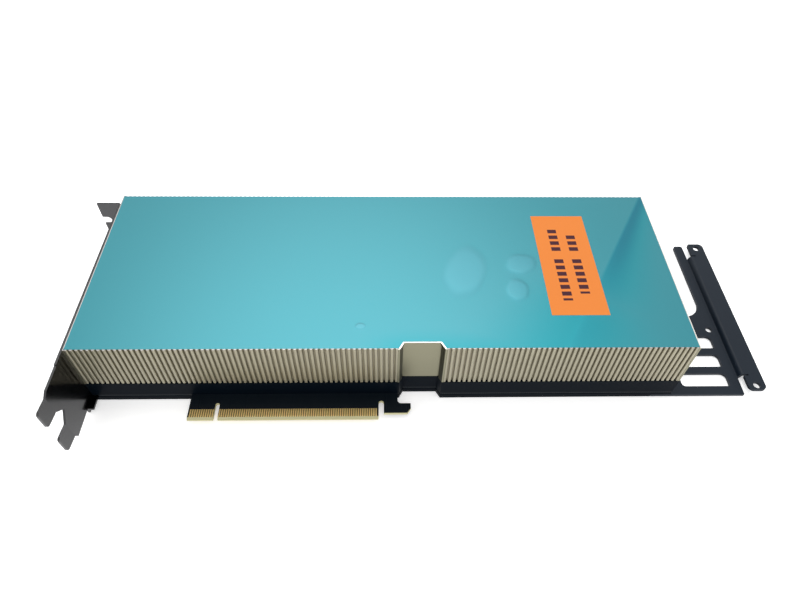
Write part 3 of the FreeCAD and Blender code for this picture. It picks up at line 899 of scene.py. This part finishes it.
def finish_mesh(bm: Draft, name: str) -> Mesh:
    """Turns a draft into a mesh and frees it.

    Args:
        bm: The draft.
        name: The mesh's name.

    Returns:
        The mesh, with outward normals.
    """
    bmesh.ops.recalc_face_normals(bm, faces=bm.faces)
    mesh = bpy.data.meshes.new(name)
    bm.to_mesh(mesh)
    bm.free()
    return mesh


def open_mesh(mesh: Mesh) -> Draft:
    """Gives a draft of a mesh, to change it.

    Args:
        mesh: The mesh.

    Returns:
        The draft, with its normals.
    """
    bm = bmesh.new()
    bm.from_mesh(mesh)
    bm.normal_update()
    return bm


def close_mesh(bm: Draft, mesh: Mesh) -> None:
    """Writes a draft back to its mesh and frees it."""
    bm.to_mesh(mesh)
    bm.free()


def add_object(name: str, mesh: Mesh) -> Piece:
    """Links a mesh into the scene as an object at the origin.

    Args:
        name: The object's name.
        mesh: Its mesh.

    Returns:
        The object.
    """
    piece = bpy.data.objects.new(name, mesh)
    bpy.context.scene.collection.objects.link(piece)
    return piece


def evaluated_mesh(piece: Piece) -> Mesh:
    """Gives the plain mesh that a piece's modifiers make."""
    graph = bpy.context.evaluated_depsgraph_get()
    return bpy.data.meshes.new_from_object(piece.evaluated_get(graph), depsgraph=graph)


def combine(target: Piece, tool: Piece, operation: str) -> None:
    """Applies an exact boolean.

    Args:
        target: The piece that changes.
        tool: The piece that changes it, which is removed.
        operation: DIFFERENCE, UNION or INTERSECT.
    """
    modifier = target.modifiers.new(operation, "BOOLEAN")
    modifier.operation = operation
    modifier.solver = "EXACT"
    modifier.object = tool
    mesh = evaluated_mesh(target)
    target.modifiers.clear()
    target.data = mesh
    bpy.data.objects.remove(tool)


def settle(piece: Piece, slot: str, *nodes: str) -> None:
    """Lets a finished piece ride on the card and reports it.

    Args:
        piece: The piece.
        slot: The name of a finish slot; not used.
        nodes: The CAD nodes that it stands for.
    """
    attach(piece, BODY)
    if nodes:
        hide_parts(*nodes)
    stands_for = ", ".join(nodes) or "nothing"
    log.info("%s: %d faces, stands for %s", piece.name, len(piece.data.polygons), stands_for)


def ease(value: float, start: float, end: float) -> float:
    """Goes smoothly from 0 at start to 1 at end, which may be the smaller of the two."""
    share = min(max((value - start) / (end - start), 0.0), 1.0)
    return share * share * (3 - 2 * share)


def turned(x: float, y: float, turn: float) -> Place:
    """Gives a place in axes that are turned about Z."""
    run, lean = math.cos(turn), math.sin(turn)
    return x * run + y * lean, y * run - x * lean


def corners_mm(node: str) -> tuple[Vector, Vector]:
    """Gives a CAD node's lowest and highest corners in millimetres."""
    low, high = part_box(node)
    return Vector(low) / MM, Vector(high) / MM


class Repeater:
    """Geometry Nodes that copy a shape along a line or onto the points of another mesh."""

    def __init__(self) -> None:
        """Builds both trees."""
        line = {"Count": "Int", "Start": "Vector", "Step": "Vector"}
        self.row = self.build_tree("row of copies", line, self.line_points)
        self.set = self.build_tree("set of copies", {"Places": "Object"}, self.given_points)

    @staticmethod
    def line_points(wires: NodeBuilder, given: Node) -> Socket:
        """Gives points in a straight row.

        Args:
            wires: The tree's node builder.
            given: The node that holds the tree's inputs.

        Returns:
            The points.
        """
        names = {"Count": "Count", "Start Location": "Start", "Offset": "Step"}
        inputs = {name: given.outputs[source] for name, source in names.items()}
        return wires.add("GeometryNodeMeshLine", inputs, mode="OFFSET").outputs["Mesh"]

    @staticmethod
    def given_points(wires: NodeBuilder, given: Node) -> Socket:
        """Gives the points of an object that marks the places."""
        marker = {"Object": given.outputs["Places"]}
        return wires.add("GeometryNodeObjectInfo", marker, transform_space="ORIGINAL").outputs["Geometry"]

    @staticmethod
    def build_tree(name: str, inputs: dict[str, str], points: Callable[[NodeBuilder, Node], Socket]) -> Tree:
        """Builds a tree that copies its geometry onto points.

        Args:
            name: The tree's name.
            inputs: Name and kind of the inputs that the points need.
            points: Adds the nodes that give the points.

        Returns:
            The tree, which ends in Realize Instances and Set Material.
        """
        wires = NodeBuilder(bpy.data.node_groups.new(name, "GeometryNodeTree"))
        common = {"Geometry": "Geometry", "Material": "Material", "Top Material": "Material"}
        for label, kind in {**common, **inputs}.items():
            wires.tree.interface.new_socket(label, in_out="INPUT", socket_type="NodeSocket" + kind)
        wires.tree.interface.new_socket("Geometry", in_out="OUTPUT", socket_type="NodeSocketGeometry")
        given = wires.add("NodeGroupInput")
        instances = {"Points": points(wires, given), "Instance": given.outputs["Geometry"]}
        copies = wires.add("GeometryNodeInstanceOnPoints", instances).outputs["Instances"]
        real = wires.add("GeometryNodeRealizeInstances", {"Geometry": copies}).outputs["Geometry"]
        paint = {"Geometry": real, "Material": given.outputs["Material"]}
        painted = wires.add("GeometryNodeSetMaterial", paint).outputs["Geometry"]
        slope = wires.split(wires.add("GeometryNodeInputNormal").outputs["Normal"])[2]
        upward = wires.add(
            "FunctionNodeCompare", {"A": slope, "B": UPWARD}, data_type="FLOAT", operation="GREATER_THAN"
        )
        top = {
            "Geometry": painted,
            "Selection": upward.outputs["Result"],
            "Material": given.outputs["Top Material"],
        }
        finished = wires.add("GeometryNodeSetMaterial", top).outputs["Geometry"]
        wires.add("NodeGroupOutput", {"Geometry": finished})
        return wires.tree

    @staticmethod
    def apply(shape: Mesh, tree: Tree, values: dict[str, object]) -> Mesh:
        """Runs a tree on a shape.

        Args:
            shape: The mesh to copy, with its own zero at a point's place.
            tree: The row or the set tree.
            values: A value for each named input.

        Returns:
            The copies as one plain mesh.
        """
        shape.materials.append(values["Material"])
        holder = add_object("holder", shape)
        modifier = holder.modifiers.new("copies", "NODES")
        modifier.node_group = tree
        for item in tree.interface.items_tree:
            if item.item_type == "SOCKET" and item.in_out == "INPUT" and item.name in values:
                modifier[item.identifier] = values[item.name]
        mesh = evaluated_mesh(holder)
        bpy.data.objects.remove(holder)
        return mesh

    def along(
        self, shape: Mesh, count: int, start: Point, step: Point, material: Material, top: Material
    ) -> Mesh:
        """Copies a shape along a straight row, in millimetres.

        Args:
            shape: The mesh to copy.
            count: Number of copies.
            start: Place of the first copy.
            step: From one copy to the next.
            material: Material of the copies.
            top: Material of faces that look up.

        Returns:
            The row as one plain mesh.
        """
        values = {
            "Count": count,
            "Start": tuple(c * MM for c in start),
            "Step": tuple(c * MM for c in step),
            "Material": material,
            "Top Material": top,
        }
        return self.apply(shape, self.row, values)

    def onto(self, shape: Mesh, places: Iterable[Point], material: Material) -> Mesh:
        """Copies a shape onto places.

        Args:
            shape: The mesh to copy.
            places: The places in millimetres.
            material: Material of the copies.

        Returns:
            The copies as one plain mesh.
        """
        marks = bpy.data.meshes.new("places")
        marks.from_pydata([tuple(c * MM for c in place) for place in places], [], [])
        marker = add_object("places", marks)
        values = {"Places": marker, "Material": material, "Top Material": material}
        mesh = self.apply(shape, self.set, values)
        bpy.data.objects.remove(marker)
        return mesh


# ---------------------------------------------------------------- camera and light


@dataclass
class Studio:
    """The camera, the soft dome of light and the pale floor.

    Attributes:
        position: Place of the camera in metres.
        yaw: Turn of the camera about Z in radians.
        pitch: How far it looks down, in radians.
        roll: Its turn about its own line of sight, in radians.
        lens: Focal length.
        sensor: Width of the camera's sensor.
        dome: Strength of the even light.
        window: Extra strength of the bright part of the dome.
        window_azimuth: Direction of that part in degrees, from Y towards X.
        window_height: Its height in degrees.
        window_edge: Cosine of the angle from its middle at which it ends.
        floor_glow: Strength of the light from below.
        floor_shade: Brightness of the floor.
        floor_size: Half width of the floor in metres.
        floor_drop: How far the floor lies under the card.
    """

    position: Vector = field(default_factory=lambda: Vector((-0.27, -198.5, 252.07)) * MM)
    yaw: float = 0.038
    pitch: float = 0.877
    roll: float = 0.027
    lens: float = 28.04
    sensor: float = 36
    dome: float = 1.0
    window: float = 2.9
    window_azimuth: float = -6.0
    window_height: float = 62.0
    window_edge: float = 0.88
    floor_glow: float = 0.45
    floor_shade: float = 0.96
    floor_size: float = 6
    floor_drop: float = 0.3

    def build(self) -> None:
        """Makes the camera, the dome and the floor."""
        self.make_camera()
        self.make_dome()
        self.make_floor()
        bpy.context.scene.view_settings.view_transform = "Standard"

    @staticmethod
    def direction(azimuth: float, height: float) -> Vector:
        """Gives the unit vector at an azimuth from Y towards X and a height, in radians."""
        flat = math.cos(height)
        return Vector((math.sin(azimuth) * flat, math.cos(azimuth) * flat, math.sin(height)))

    def make_camera(self) -> None:
        """Places the camera in front of the card edge, looking down on it."""
        forward = self.direction(self.yaw, -self.pitch)
        right = Vector((math.cos(self.yaw), -math.sin(self.yaw), 0))
        up = right.cross(forward)
        turned_right = math.cos(self.roll) * right + math.sin(self.roll) * up
        turned_up = math.cos(self.roll) * up - math.sin(self.roll) * right
        data = bpy.data.cameras.new("camera")
        data.lens = self.lens
        data.sensor_width = self.sensor
        data.clip_start = 10 * MM
        camera = bpy.data.objects.new("camera", data)
        turn = Matrix((turned_right, turned_up, -forward)).transposed()
        camera.matrix_world = Matrix.Translation(self.position) @ turn.to_4x4()
        bpy.context.scene.collection.objects.link(camera)
        bpy.context.scene.camera = camera

    def make_dome(self) -> None:
        """Makes an even white dome with one soft bright window behind the card."""
        world = bpy.data.worlds.new("dome")
        world.use_nodes = True
        wires = NodeBuilder(world.node_tree)
        middle = self.direction(math.radians(self.window_azimuth), math.radians(self.window_height))
        looks = {0: wires.add("ShaderNodeTexCoord").outputs["Generated"], 1: middle}
        towards = wires.add("ShaderNodeVectorMath", looks, operation="DOT_PRODUCT").outputs["Value"]
        glow = wires.ramp(towards, self.window_edge, 1.0)
        strength = wires.math("MULTIPLY_ADD", glow, self.window, self.dome)
        wires.feed(world.node_tree.nodes["Background"], {"Color": (1, 1, 1, 1), "Strength": strength})
        bpy.context.scene.world = world

    def make_floor(self) -> None:
        """Makes the plain pale floor, lit a little from below as a light table is."""
        bm = bmesh.new()
        bmesh.ops.create_grid(bm, x_segments=1, y_segments=1, size=self.floor_size)
        bmesh.ops.translate(bm, verts=bm.verts, vec=(0, 0, -self.floor_drop * MM))
        material, wires, shader = start_material("floor")
        wires.feed(shader, {
            "Base Color": (self.floor_shade, self.floor_shade, self.floor_shade, 1),
            "Roughness": 0.9,
            "Emission Color": (1, 1, 1, 1),
            "Emission Strength": self.floor_glow,
        })
        floor = add_object("floor", finish_mesh(bm, "floor"))
        floor.data.materials.append(material)


# ---------------------------------------------------------------- the card


@dataclass
class RibbedCover:
    """The cover: a thin shell with a notch, and rounded upright ribs along both sides.

    Attributes:
        palette: The card's materials.
        repeater: Copies the ribs.
        top_wall: Thickness of the top.
        side_wall: Thickness of the sides, with the ribs.
        rib_pitch: Spacing of the ribs, before it is fitted to a run.
        rib_width: Width of a rib at its foot.
        rib_flat: Width of its flat crest.
        rib_end: Height over which its lower end is pulled in.
        shoulder: Length of the plain stretch at a run's ends.
        shoulder_slope: Length of the slope from there to the grooves.
        notch_start: From the cover's bracket end to the notch.
        notch_length: Length of the notch.
        notch_depth: Depth of the notch.
        notch_slope: Length of its sloped ends.
        notch_wall: Thickness of the wall behind it.
        rim: From the cover's side to the inner face of the posts.
        post_length: Length of a post along X.
        overlap: How far the posts reach into the shell before they are joined to it.
        top_strips: From the bracket end to where the top's painted shadow ends, and to where its painted
            shade ends.
    """

    palette: Palette
    repeater: Repeater
    top_wall: float = 1.5
    side_wall: float = 2.4
    rib_pitch: float = 2.25
    rib_width: float = 1.58
    rib_flat: float = 0.7
    rib_end: float = 0.3
    shoulder: float = 1.1
    shoulder_slope: float = 0.2
    notch_start: float = 139.4
    notch_length: float = 19.1
    notch_depth: float = 3.35
    notch_slope: float = 1.9
    notch_wall: float = 1.65
    rim: float = 5.0
    post_length: float = 7.4
    overlap: float = 0.2
    top_strips: Place = (0.1, 2.0)

    def __post_init__(self) -> None:
        """Takes the cover's corners from the frame."""
        self.low, self.high = corners_mm("cover")
        self.notch_from = self.low.x + self.notch_start
        self.notch_to = self.notch_from + self.notch_length
        self.notch_floor = self.low.y + self.notch_depth

    def build(self) -> None:
        """Makes the shell and the ribs."""
        self.build_shell()
        self.build_ribs()

    def runs(self) -> list[tuple[float, float, LongSide]]:
        """Says where the ribs run.

        Returns:
            The start X, end X and side of each run.
        """
        return [
            (self.low.x, self.notch_from, LongSide.CARD_EDGE),
            (self.notch_to, self.high.x, LongSide.CARD_EDGE),
            (self.low.x, self.high.x, LongSide.BRIDGE),
        ]

    def run_outline(self, start: float, end: float, side: LongSide) -> Outline:
        """Outlines one run at the bottom of its grooves.

        Args:
            start: X of the run's start.
            end: X of its end.
            side: The side that it is on.

        Returns:
            Plan points in the order of X, with full-depth shoulders at both ends.
        """
        face = self.low.y if side is LongSide.CARD_EDGE else self.high.y
        groove = face - side.value * RIB_DEPTH
        plain = self.shoulder - self.shoulder_slope
        return [
            (start, face),
            (start + plain, face),
            (start + self.shoulder, groove),
            (end - self.shoulder, groove),
            (end - plain, face),
            (end, face),
        ]

    def shell_outline(self) -> Outline:
        """Outlines the cover at the bottom of its grooves.

        Returns:
            Plan points, with the notch between the front runs.
        """
        before, after, rear = (self.run_outline(*run) for run in self.runs())
        notch = [
            (self.notch_from + self.notch_slope, self.notch_floor),
            (self.notch_to - self.notch_slope, self.notch_floor),
        ]
        return before + notch + after + rear[::-1]

    def build_shell(self) -> None:
        """Hollows the outline, leaving the posts and the wall behind the notch."""
        bm = bmesh.new()
        add_prism(bm, self.shell_outline(), self.low.z, self.high.z)
        shell = add_object("cover_shell", finish_mesh(bm, "cover_shell"))
        combine(shell, self.hollow(), "DIFFERENCE")
        combine(shell, self.posts(), "UNION")
        self.cut_top_strips(shell.data)
        self.dress_shell(shell.data)
        settle(shell, "anodised_cover", "cover")

    def hollow(self) -> Piece:
        """Makes the block that hollows the shell and opens both ends.

        Returns:
            The block.
        """
        beyond = 1
        bm = bmesh.new()
        side = self.high.y - self.side_wall
        low = (self.low.x - beyond, -side, self.low.z - beyond)
        add_box(bm, low, (self.high.x + beyond, side, self.high.z - self.top_wall))
        return add_object("hollow", finish_mesh(bm, "hollow"))

    def posts(self) -> Piece:
        """Makes the posts for the clamp screws and the wall behind the notch.

        Returns:
            One piece with all of them.
        """
        bm = bmesh.new()
        ceiling = self.high.z - self.top_wall + self.overlap
        inner = self.high.y - self.rim
        outer = self.high.y - self.side_wall + self.overlap
        half = self.post_length / 2
        for x in CLAMP_X:
            for side in LongSide:
                near, far = sorted((side.value * inner, side.value * outer))
                add_box(bm, (x - half, near, self.low.z), (x + half, far, ceiling))
        beyond = 0.3
        low = (self.notch_from - beyond, self.notch_floor, self.low.z)
        add_box(bm, low, (self.notch_to + beyond, self.notch_floor + self.notch_wall, ceiling))
        return add_object("posts", finish_mesh(bm, "posts"))

    def cut_top_strips(self, mesh: Mesh) -> None:
        """Cuts the shell's faces where the top's painted shadow and painted shade end along the bracket.

        Args:
            mesh: The shell's mesh.
        """
        bm = open_mesh(mesh)
        for reach in self.top_strips:
            bmesh.ops.bisect_plane(
                bm, geom=[*bm.verts, *bm.edges, *bm.faces], dist=0.01 * MM,
                plane_co=((self.low.x + reach) * MM, 0, 0), plane_no=(1, 0, 0),
            )
        close_mesh(bm, mesh)

    def dress_shell(self, mesh: Mesh) -> None:
        """Gives each kind of face of the shell its finish.

        Args:
            mesh: The shell's mesh.
        """
        names = ("anodised_cover", "milled_edge", "grooved_cover", "notch_slope", "shaded_edge")
        self.palette.fill(mesh, *names)
        steep = 0.3
        groove_y = (self.high.y - RIB_DEPTH) * MM
        shadow_to, shade_to = ((self.low.x + reach) * MM for reach in self.top_strips)
        for face in mesh.polygons:
            x, y, _ = face.center
            finish = "anodised_cover"
            # Top faces: painted shadow on the thinnest strip at the bracket end, painted shade from the
            # darker copy of the milled edge on the next, and the milled edge beyond.
            if face.normal.z > UPWARD:
                finish = "notch_slope" if x < shadow_to else "shaded_edge" if x < shade_to else "milled_edge"
            elif abs(abs(y) - groove_y) < 0.1 * MM:
                finish = "grooved_cover"
            # The notch's sloped ends take the darker copy of the anodised finish, as painted shade.
            elif steep < abs(face.normal.x) < LEVEL and self.notch_from * MM < x < self.notch_to * MM:
                finish = "notch_slope"
            face.material_index = names.index(finish)

    def rib_profile(self) -> Outline:
        """Outlines a rib.

        Returns:
            Plan points, with the foot in the wall and the crest towards -Y.
        """
        foot, flank, flank_lean, turns = 0.15, 0.45, 0.05, 4
        half, flat = self.rib_width / 2, self.rib_flat / 2
        profile = [(-half, foot)]
        for i in range(turns + 1):
            angle = math.pi / 2 * i / turns
            away = flat + (half - flank_lean - flat) * math.cos(angle)
            profile.append((-away, -RIB_DEPTH * (flank + (1 - flank) * math.sin(angle))))
        return profile + [(-x, y) for x, y in reversed(profile)]

    def rib_shape(self) -> Mesh:
        """Makes one rounded rib.

        Returns:
            The mesh of a rib, pulled in at its lower and upper ends.
        """
        bm = bmesh.new()
        tall = self.high.z - self.low.z
        sections = ((0, 0.62), (self.rib_end, 1), (tall - self.rib_end / 2, 1), (tall, 0.86))
        rings = []
        for z, size in sections:
            width = 0.8 + 0.2 * size
            plan = [(x * width, y if y > 0 else y * size) for x, y in self.rib_profile()]
            rings.append([bm.verts.new((x * MM, y * MM, z * MM)) for x, y in plan])
        add_walls(bm, rings)
        return finish_mesh(bm, "rib")

    def build_ribs(self) -> None:
        """Copies the rib along the three runs and joins them."""
        # The ribs' flanks carry the painted groove shade, and their tops the darker copy of the milled edge,
        # painted shade that dims their glints.
        names = ("grooved_cover", "shaded_edge")
        bm = bmesh.new()
        for start, end, side in self.runs():
            count = round((end - start) / self.rib_pitch)
            pitch = (end - start) / count
            shape = self.rib_shape()
            if side is LongSide.BRIDGE:
                shape.transform(Matrix.Rotation(math.pi, 4, "Z"))
            first = (start + pitch / 2, side.value * (self.high.y - RIB_DEPTH), self.low.z)
            finishes = (self.palette[name] for name in names)
            bm.from_mesh(self.repeater.along(shape, count, first, (pitch, 0, 0), *finishes))
        mesh = bpy.data.meshes.new("cover_ribs")
        self.palette.fill(mesh, *names)
        close_mesh(bm, mesh)
        settle(add_object("cover_ribs", mesh), "anodised_cover", "cover")


@dataclass
class ProtectiveFilm:
    """The film on the cover's top: thin, standing up a little over trapped air and along its fold.

    Attributes:
        palette: The card's materials.
        cover: The cover that it lies on.
        finish: Where the fold and the air pockets are.
        inset: From the cover's edges to the film's.
        cell: Spacing of the points on its top.
        pocket_rise: Height of the air pockets.
        fold_rise: Height of the fold.
    """

    palette: Palette
    cover: RibbedCover
    finish: FilmFinish = FILM
    inset: float = 0.5
    cell: float = 1.5
    pocket_rise: float = 0.065
    fold_rise: float = 0.05

    def build(self) -> None:
        """Makes the raised sheet, trims it to the cover's outline and shades its top smoothly."""
        self.low, self.high = corners_mm("protective_film")
        film = add_object("slack_film", self.sheet())
        bm = bmesh.new()
        add_prism(bm, self.outline(), self.low.z - 1, self.high.z + 1)
        combine(film, add_object("trim", finish_mesh(bm, "trim")), "INTERSECT")
        self.smooth_top(film.data)
        self.palette.fill(film.data, "blue_green_film")
        settle(film, "blue_green_film", "protective_film")

    def outline(self) -> Outline:
        """Outlines the film.

        Returns:
            Plan points, with the notch taken from the cover's sizes.
        """
        cover, inset = self.cover, self.inset
        floor = cover.notch_floor + inset
        return [
            (self.low.x, self.low.y),
            (cover.notch_from - inset, self.low.y),
            (cover.notch_from + cover.notch_slope - inset, floor),
            (cover.notch_to - cover.notch_slope + inset, floor),
            (cover.notch_to + inset, self.low.y),
            (self.high.x, self.low.y),
            (self.high.x, self.high.y),
            (self.low.x, self.high.y),
        ]

    def sheet(self) -> Mesh:
        """Makes a slab a little larger than the film.

        Returns:
            A closed mesh with a fine grid on its top and one flat face below.
        """
        low, high = self.low, self.high
        offset = 0.1
        columns = round((high.x - low.x) / self.cell) + 2
        rows = round((high.y - low.y) / self.cell) + 2
        bm = bmesh.new()
        top = []
        for i in range(columns + 1):
            x = low.x + (i - 1) * self.cell + offset
            line = []
            for j in range(rows + 1):
                y = low.y + (j - 1) * self.cell + offset
                line.append(bm.verts.new((x * MM, y * MM, (high.z + self.rise(x, y)) * MM)))
            top.append(line)
        for left, right in zip(top, top[1:]):
            for j in range(rows):
                bm.faces.new((left[j], right[j], right[j + 1], left[j + 1]))
        near, far = [line[0] for line in top], [line[-1] for line in top[-2::-1]]
        border = near + top[-1][1:] + far + top[0][-2:0:-1]
        below = [bm.verts.new((vert.co.x, vert.co.y, low.z * MM)) for vert in border]
        for i, vert in enumerate(border):
            j = (i + 1) % len(border)
            bm.faces.new((border[j], vert, below[i], below[j]))
        bm.faces.new(below)
        return finish_mesh(bm, "slack_film")

    def rise(self, x: float, y: float) -> float:
        """Gives how far the film stands above its flat height.

        Args:
            x: The place along X.
            y: The place along Y.

        Returns:
            The rise in millimetres.
        """
        crease = self.finish.crease
        along, across = turned(x - crease.start[0], y - crease.start[1], crease.turn)
        spread = across / max(1 + along * crease.widening / crease.length, crease.narrowest)
        rise = self.fold_rise * ease(across, *crease.sharp) * ease(spread, *crease.soft)
        crown = 0.3
        for spot in self.finish.blisters:
            off_x, off_y = turned(x - spot.x, y - spot.y, spot.turn)
            away = math.hypot(off_x / spot.half_x, off_y / spot.half_y)
            rise = max(rise, self.pocket_rise * ease(away, spot.reach, crown))
        return rise

    @staticmethod
    def smooth_top(mesh: Mesh) -> None:
        """Shades the top smoothly and keeps the cut edges sharp.

        Args:
            mesh: The film's mesh.
        """
        sharp_from = 0.5
        bm = open_mesh(mesh)
        for face in bm.faces:
            face.smooth = face.normal.z > 0.5
        for edge in bm.edges:
            edge.smooth = edge.calc_face_angle(math.pi) < sharp_from
        close_mesh(bm, mesh)


@dataclass
class CircuitBoard:
    """The board: masked faces and pale cut edges."""

    palette: Palette

    def build(self) -> None:
        """Copies the CAD board, merges its corners and gives each kind of face its finish."""
        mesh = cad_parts["circuit_board"].data.copy()
        self.palette.fill(mesh, "board_laminate", "laminate_edge")
        bm = open_mesh(mesh)
        bmesh.ops.remove_doubles(bm, verts=bm.verts, dist=0.001 * MM)
        bmesh.ops.dissolve_limit(bm, angle_limit=0.01, verts=bm.verts, edges=bm.edges)
        bm.normal_update()
        frame_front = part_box("base_frame")[0][1]
        for face in bm.faces:
            beyond_frame = face.calc_center_median().y < frame_front
            face.material_index = int(beyond_frame and abs(face.normal.z) < LEVEL)
            face.smooth = False
        close_mesh(bm, mesh)
        settle(add_object("laminate_board", mesh), "board_laminate", "circuit_board")


@dataclass
class Screw:
    """A screw with a six-lobed drive, made by stacking rings.

    Attributes:
        head_radius: Radius of the head.
        head_height: Height of the head.
        length: Length with the head.
        countersunk: Whether the head is sunk or a pan.
        shank_radius: Radius of the shank.
        drive_radius: Radius of the drive over its lobes.
        drive_depth: Depth of the drive.
        lobe: Half the depth between the lobes, as a share of that radius.
        point: Length of the tapered point.
        sides: Points in a ring.
    """

    head_radius: float
    head_height: float
    length: float
    countersunk: bool
    shank_radius: float = 1.0
    drive_radius: float = 0.95
    drive_depth: float = 0.7
    lobe: float = 0.14
    point: float = 0.3
    sides: int = 24

    def ring(self, bm: Draft, radius: float, along: float, lobe: float = 0.0) -> Ring:
        """Adds one ring of points.

        Args:
            bm: The mesh that grows.
            radius: Radius of the ring.
            along: Distance from the head's face.
            lobe: Half the depth between its six lobes, as a share of the radius.

        Returns:
            The ring.
        """
        points = []
        for i in range(self.sides):
            angle = math.tau * i / self.sides
            reach = radius * (1 - lobe + lobe * math.cos(6 * angle))
            place = (reach * math.cos(angle) * MM, reach * math.sin(angle) * MM, along * MM)
            points.append(bm.verts.new(place))
        return points

    def head(self) -> tuple[Place, ...]:
        """Says where the head's rings are.

        Returns:
            The radius and the distance of each ring.
        """
        radius, height = self.head_radius, self.head_height
        if self.countersunk:
            return (radius, 0), (self.shank_radius, height)
        dome = ((radius * 0.8, 0), (radius * 0.96, height * 0.25), (radius, height * 0.6))
        return *dome, (radius, height), (self.shank_radius, height)

    def shape(self, axis: Axis) -> Mesh:
        """Makes the screw, with the middle of its head's face at zero.

        Args:
            axis: The direction in which the head looks.

        Returns:
            The mesh of one screw.
        """
        bm = bmesh.new()
        shank = ((self.shank_radius, self.length - self.point), (self.shank_radius * 0.7, self.length))
        rings = [self.ring(bm, self.drive_radius, depth, self.lobe) for depth in (self.drive_depth, 0)]
        rings += [self.ring(bm, radius, along) for radius, along in (*self.head(), *shank)]
        add_walls(bm, rings)
        mesh = finish_mesh(bm, "screw")
        if axis is Axis.OUT_OF_BRACKET:
            mesh.transform(Matrix.Rotation(math.pi / 2, 4, "Y"))
        return mesh


@dataclass
class Screws:
    """All visible screws, copied onto their places.

    Attributes:
        palette: The card's materials.
        repeater: Copies the screws.
        clamp_y: Distance of the clamp screws from the card's middle.
        bracket_places: Y and Z of the bracket's screws.
        sunk_head: Radius and height of a countersunk head.
        pan_head: Radius and height of a pan head.
    """

    palette: Palette
    repeater: Repeater
    clamp_y: float = 45.15
    bracket_places: tuple[Place, ...] = ((-42.2, 8.79), (36.4, 8.79))
    sunk_head: Place = (1.9, 0.9)
    pan_head: Place = (2.0, 1.2)

    def build(self) -> None:
        """Makes the clamp screws, the extender's screw and the bracket's screws."""
        low, high = corners_mm("clamp_screws")
        clamp = Screw(*self.sunk_head, high.z - low.z, countersunk=True)
        places = [(x, y, low.z) for x in CLAMP_X for y in (-self.clamp_y, self.clamp_y)]
        self.copy("clamp_screws", clamp.shape(Axis.DOWN), places)
        low, high = corners_mm("tail_extender_screw")
        middle = (low + high) / 2
        short = Screw(*self.sunk_head, high.z - low.z, countersunk=True)
        self.copy("tail_extender_screw", short.shape(Axis.DOWN), [(middle.x, middle.y, low.z)])
        low, high = corners_mm("io_bracket_screws")
        pan = Screw(*self.pan_head, high.x - low.x, countersunk=False)
        places = [(low.x, y, z) for y, z in self.bracket_places]
        self.copy("io_bracket_screws", pan.shape(Axis.OUT_OF_BRACKET), places)

    def copy(self, node: str, shape: Mesh, places: list[Point]) -> None:
        """Copies one screw onto its places and lets the copies stand for a CAD node."""
        mesh = self.repeater.onto(shape, places, self.palette["black_screw"])
        settle(add_object("driven_" + node, mesh), "black_screw", node)


@dataclass
class PlainParts:
    """The pieces that keep their CAD shape and get a finish.

    Attributes:
        palette: The card's materials.
        finishes: The finish of each CAD node.
    """

    palette: Palette
    finishes: dict[str, str] = field(default_factory=lambda: {
        "cover": "anodised_cover",
        "protective_film": "blue_green_film",
        "film_label": "orange_label",
        "base_frame": "black_coat",
        "backplate": "black_coat",
        "circuit_board": "board_laminate",
        "edge_contacts": "gold_contact",
        "io_bracket": "bracket_steel",
        "tail_extender": "extender_coat",
        "clamp_screws": "black_screw",
        "io_bracket_screws": "black_screw",
        "tail_extender_screw": "black_screw",
        "fin_pack": "fin_aluminium",
        "cold_plate": "plate_copper",
        "package_substrate": "package_laminate",
        "package_stiffener": "stiffener_steel",
        "processor_die": "silicon",
        "memory_stacks": "silicon",
        "thermal_paste": "grey_paste",
        "thermal_pads": "pad_silicone",
        "power_inductors": "ferrite",
        "power_stages": "chip_plastic",
        "bulk_capacitors": "capacitor_plastic",
        "input_chokes": "ferrite",
        "power_inlet": "inlet_plastic",
        "power_inlet_pins": "gold_contact",
        **{"bridge_cap_%d" % number: "cap_plastic" for number in (1, 2, 3)},
    })

    def dress(self) -> None:
        """Gives each CAD node its finish and reports it."""
        for node, finish in self.finishes.items():
            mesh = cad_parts[node].data
            for index in range(len(mesh.materials)):
                mesh.materials[index] = self.palette[finish]
            if not mesh.materials:
                mesh.materials.append(self.palette[finish])
            log.info("%s: dressed in %s", node, finish)


def main() -> None:
    """Builds the looks in order."""
    logging.basicConfig(level=logging.INFO)
    Studio().build()
    palette = Palette()
    repeater = Repeater()
    PlainParts(palette).dress()
    cover = RibbedCover(palette, repeater)
    cover.build()
    ProtectiveFilm(palette, cover).build()
    CircuitBoard(palette).build()
    Screws(palette, repeater).build()


if __name__ == "__main__":
    main()
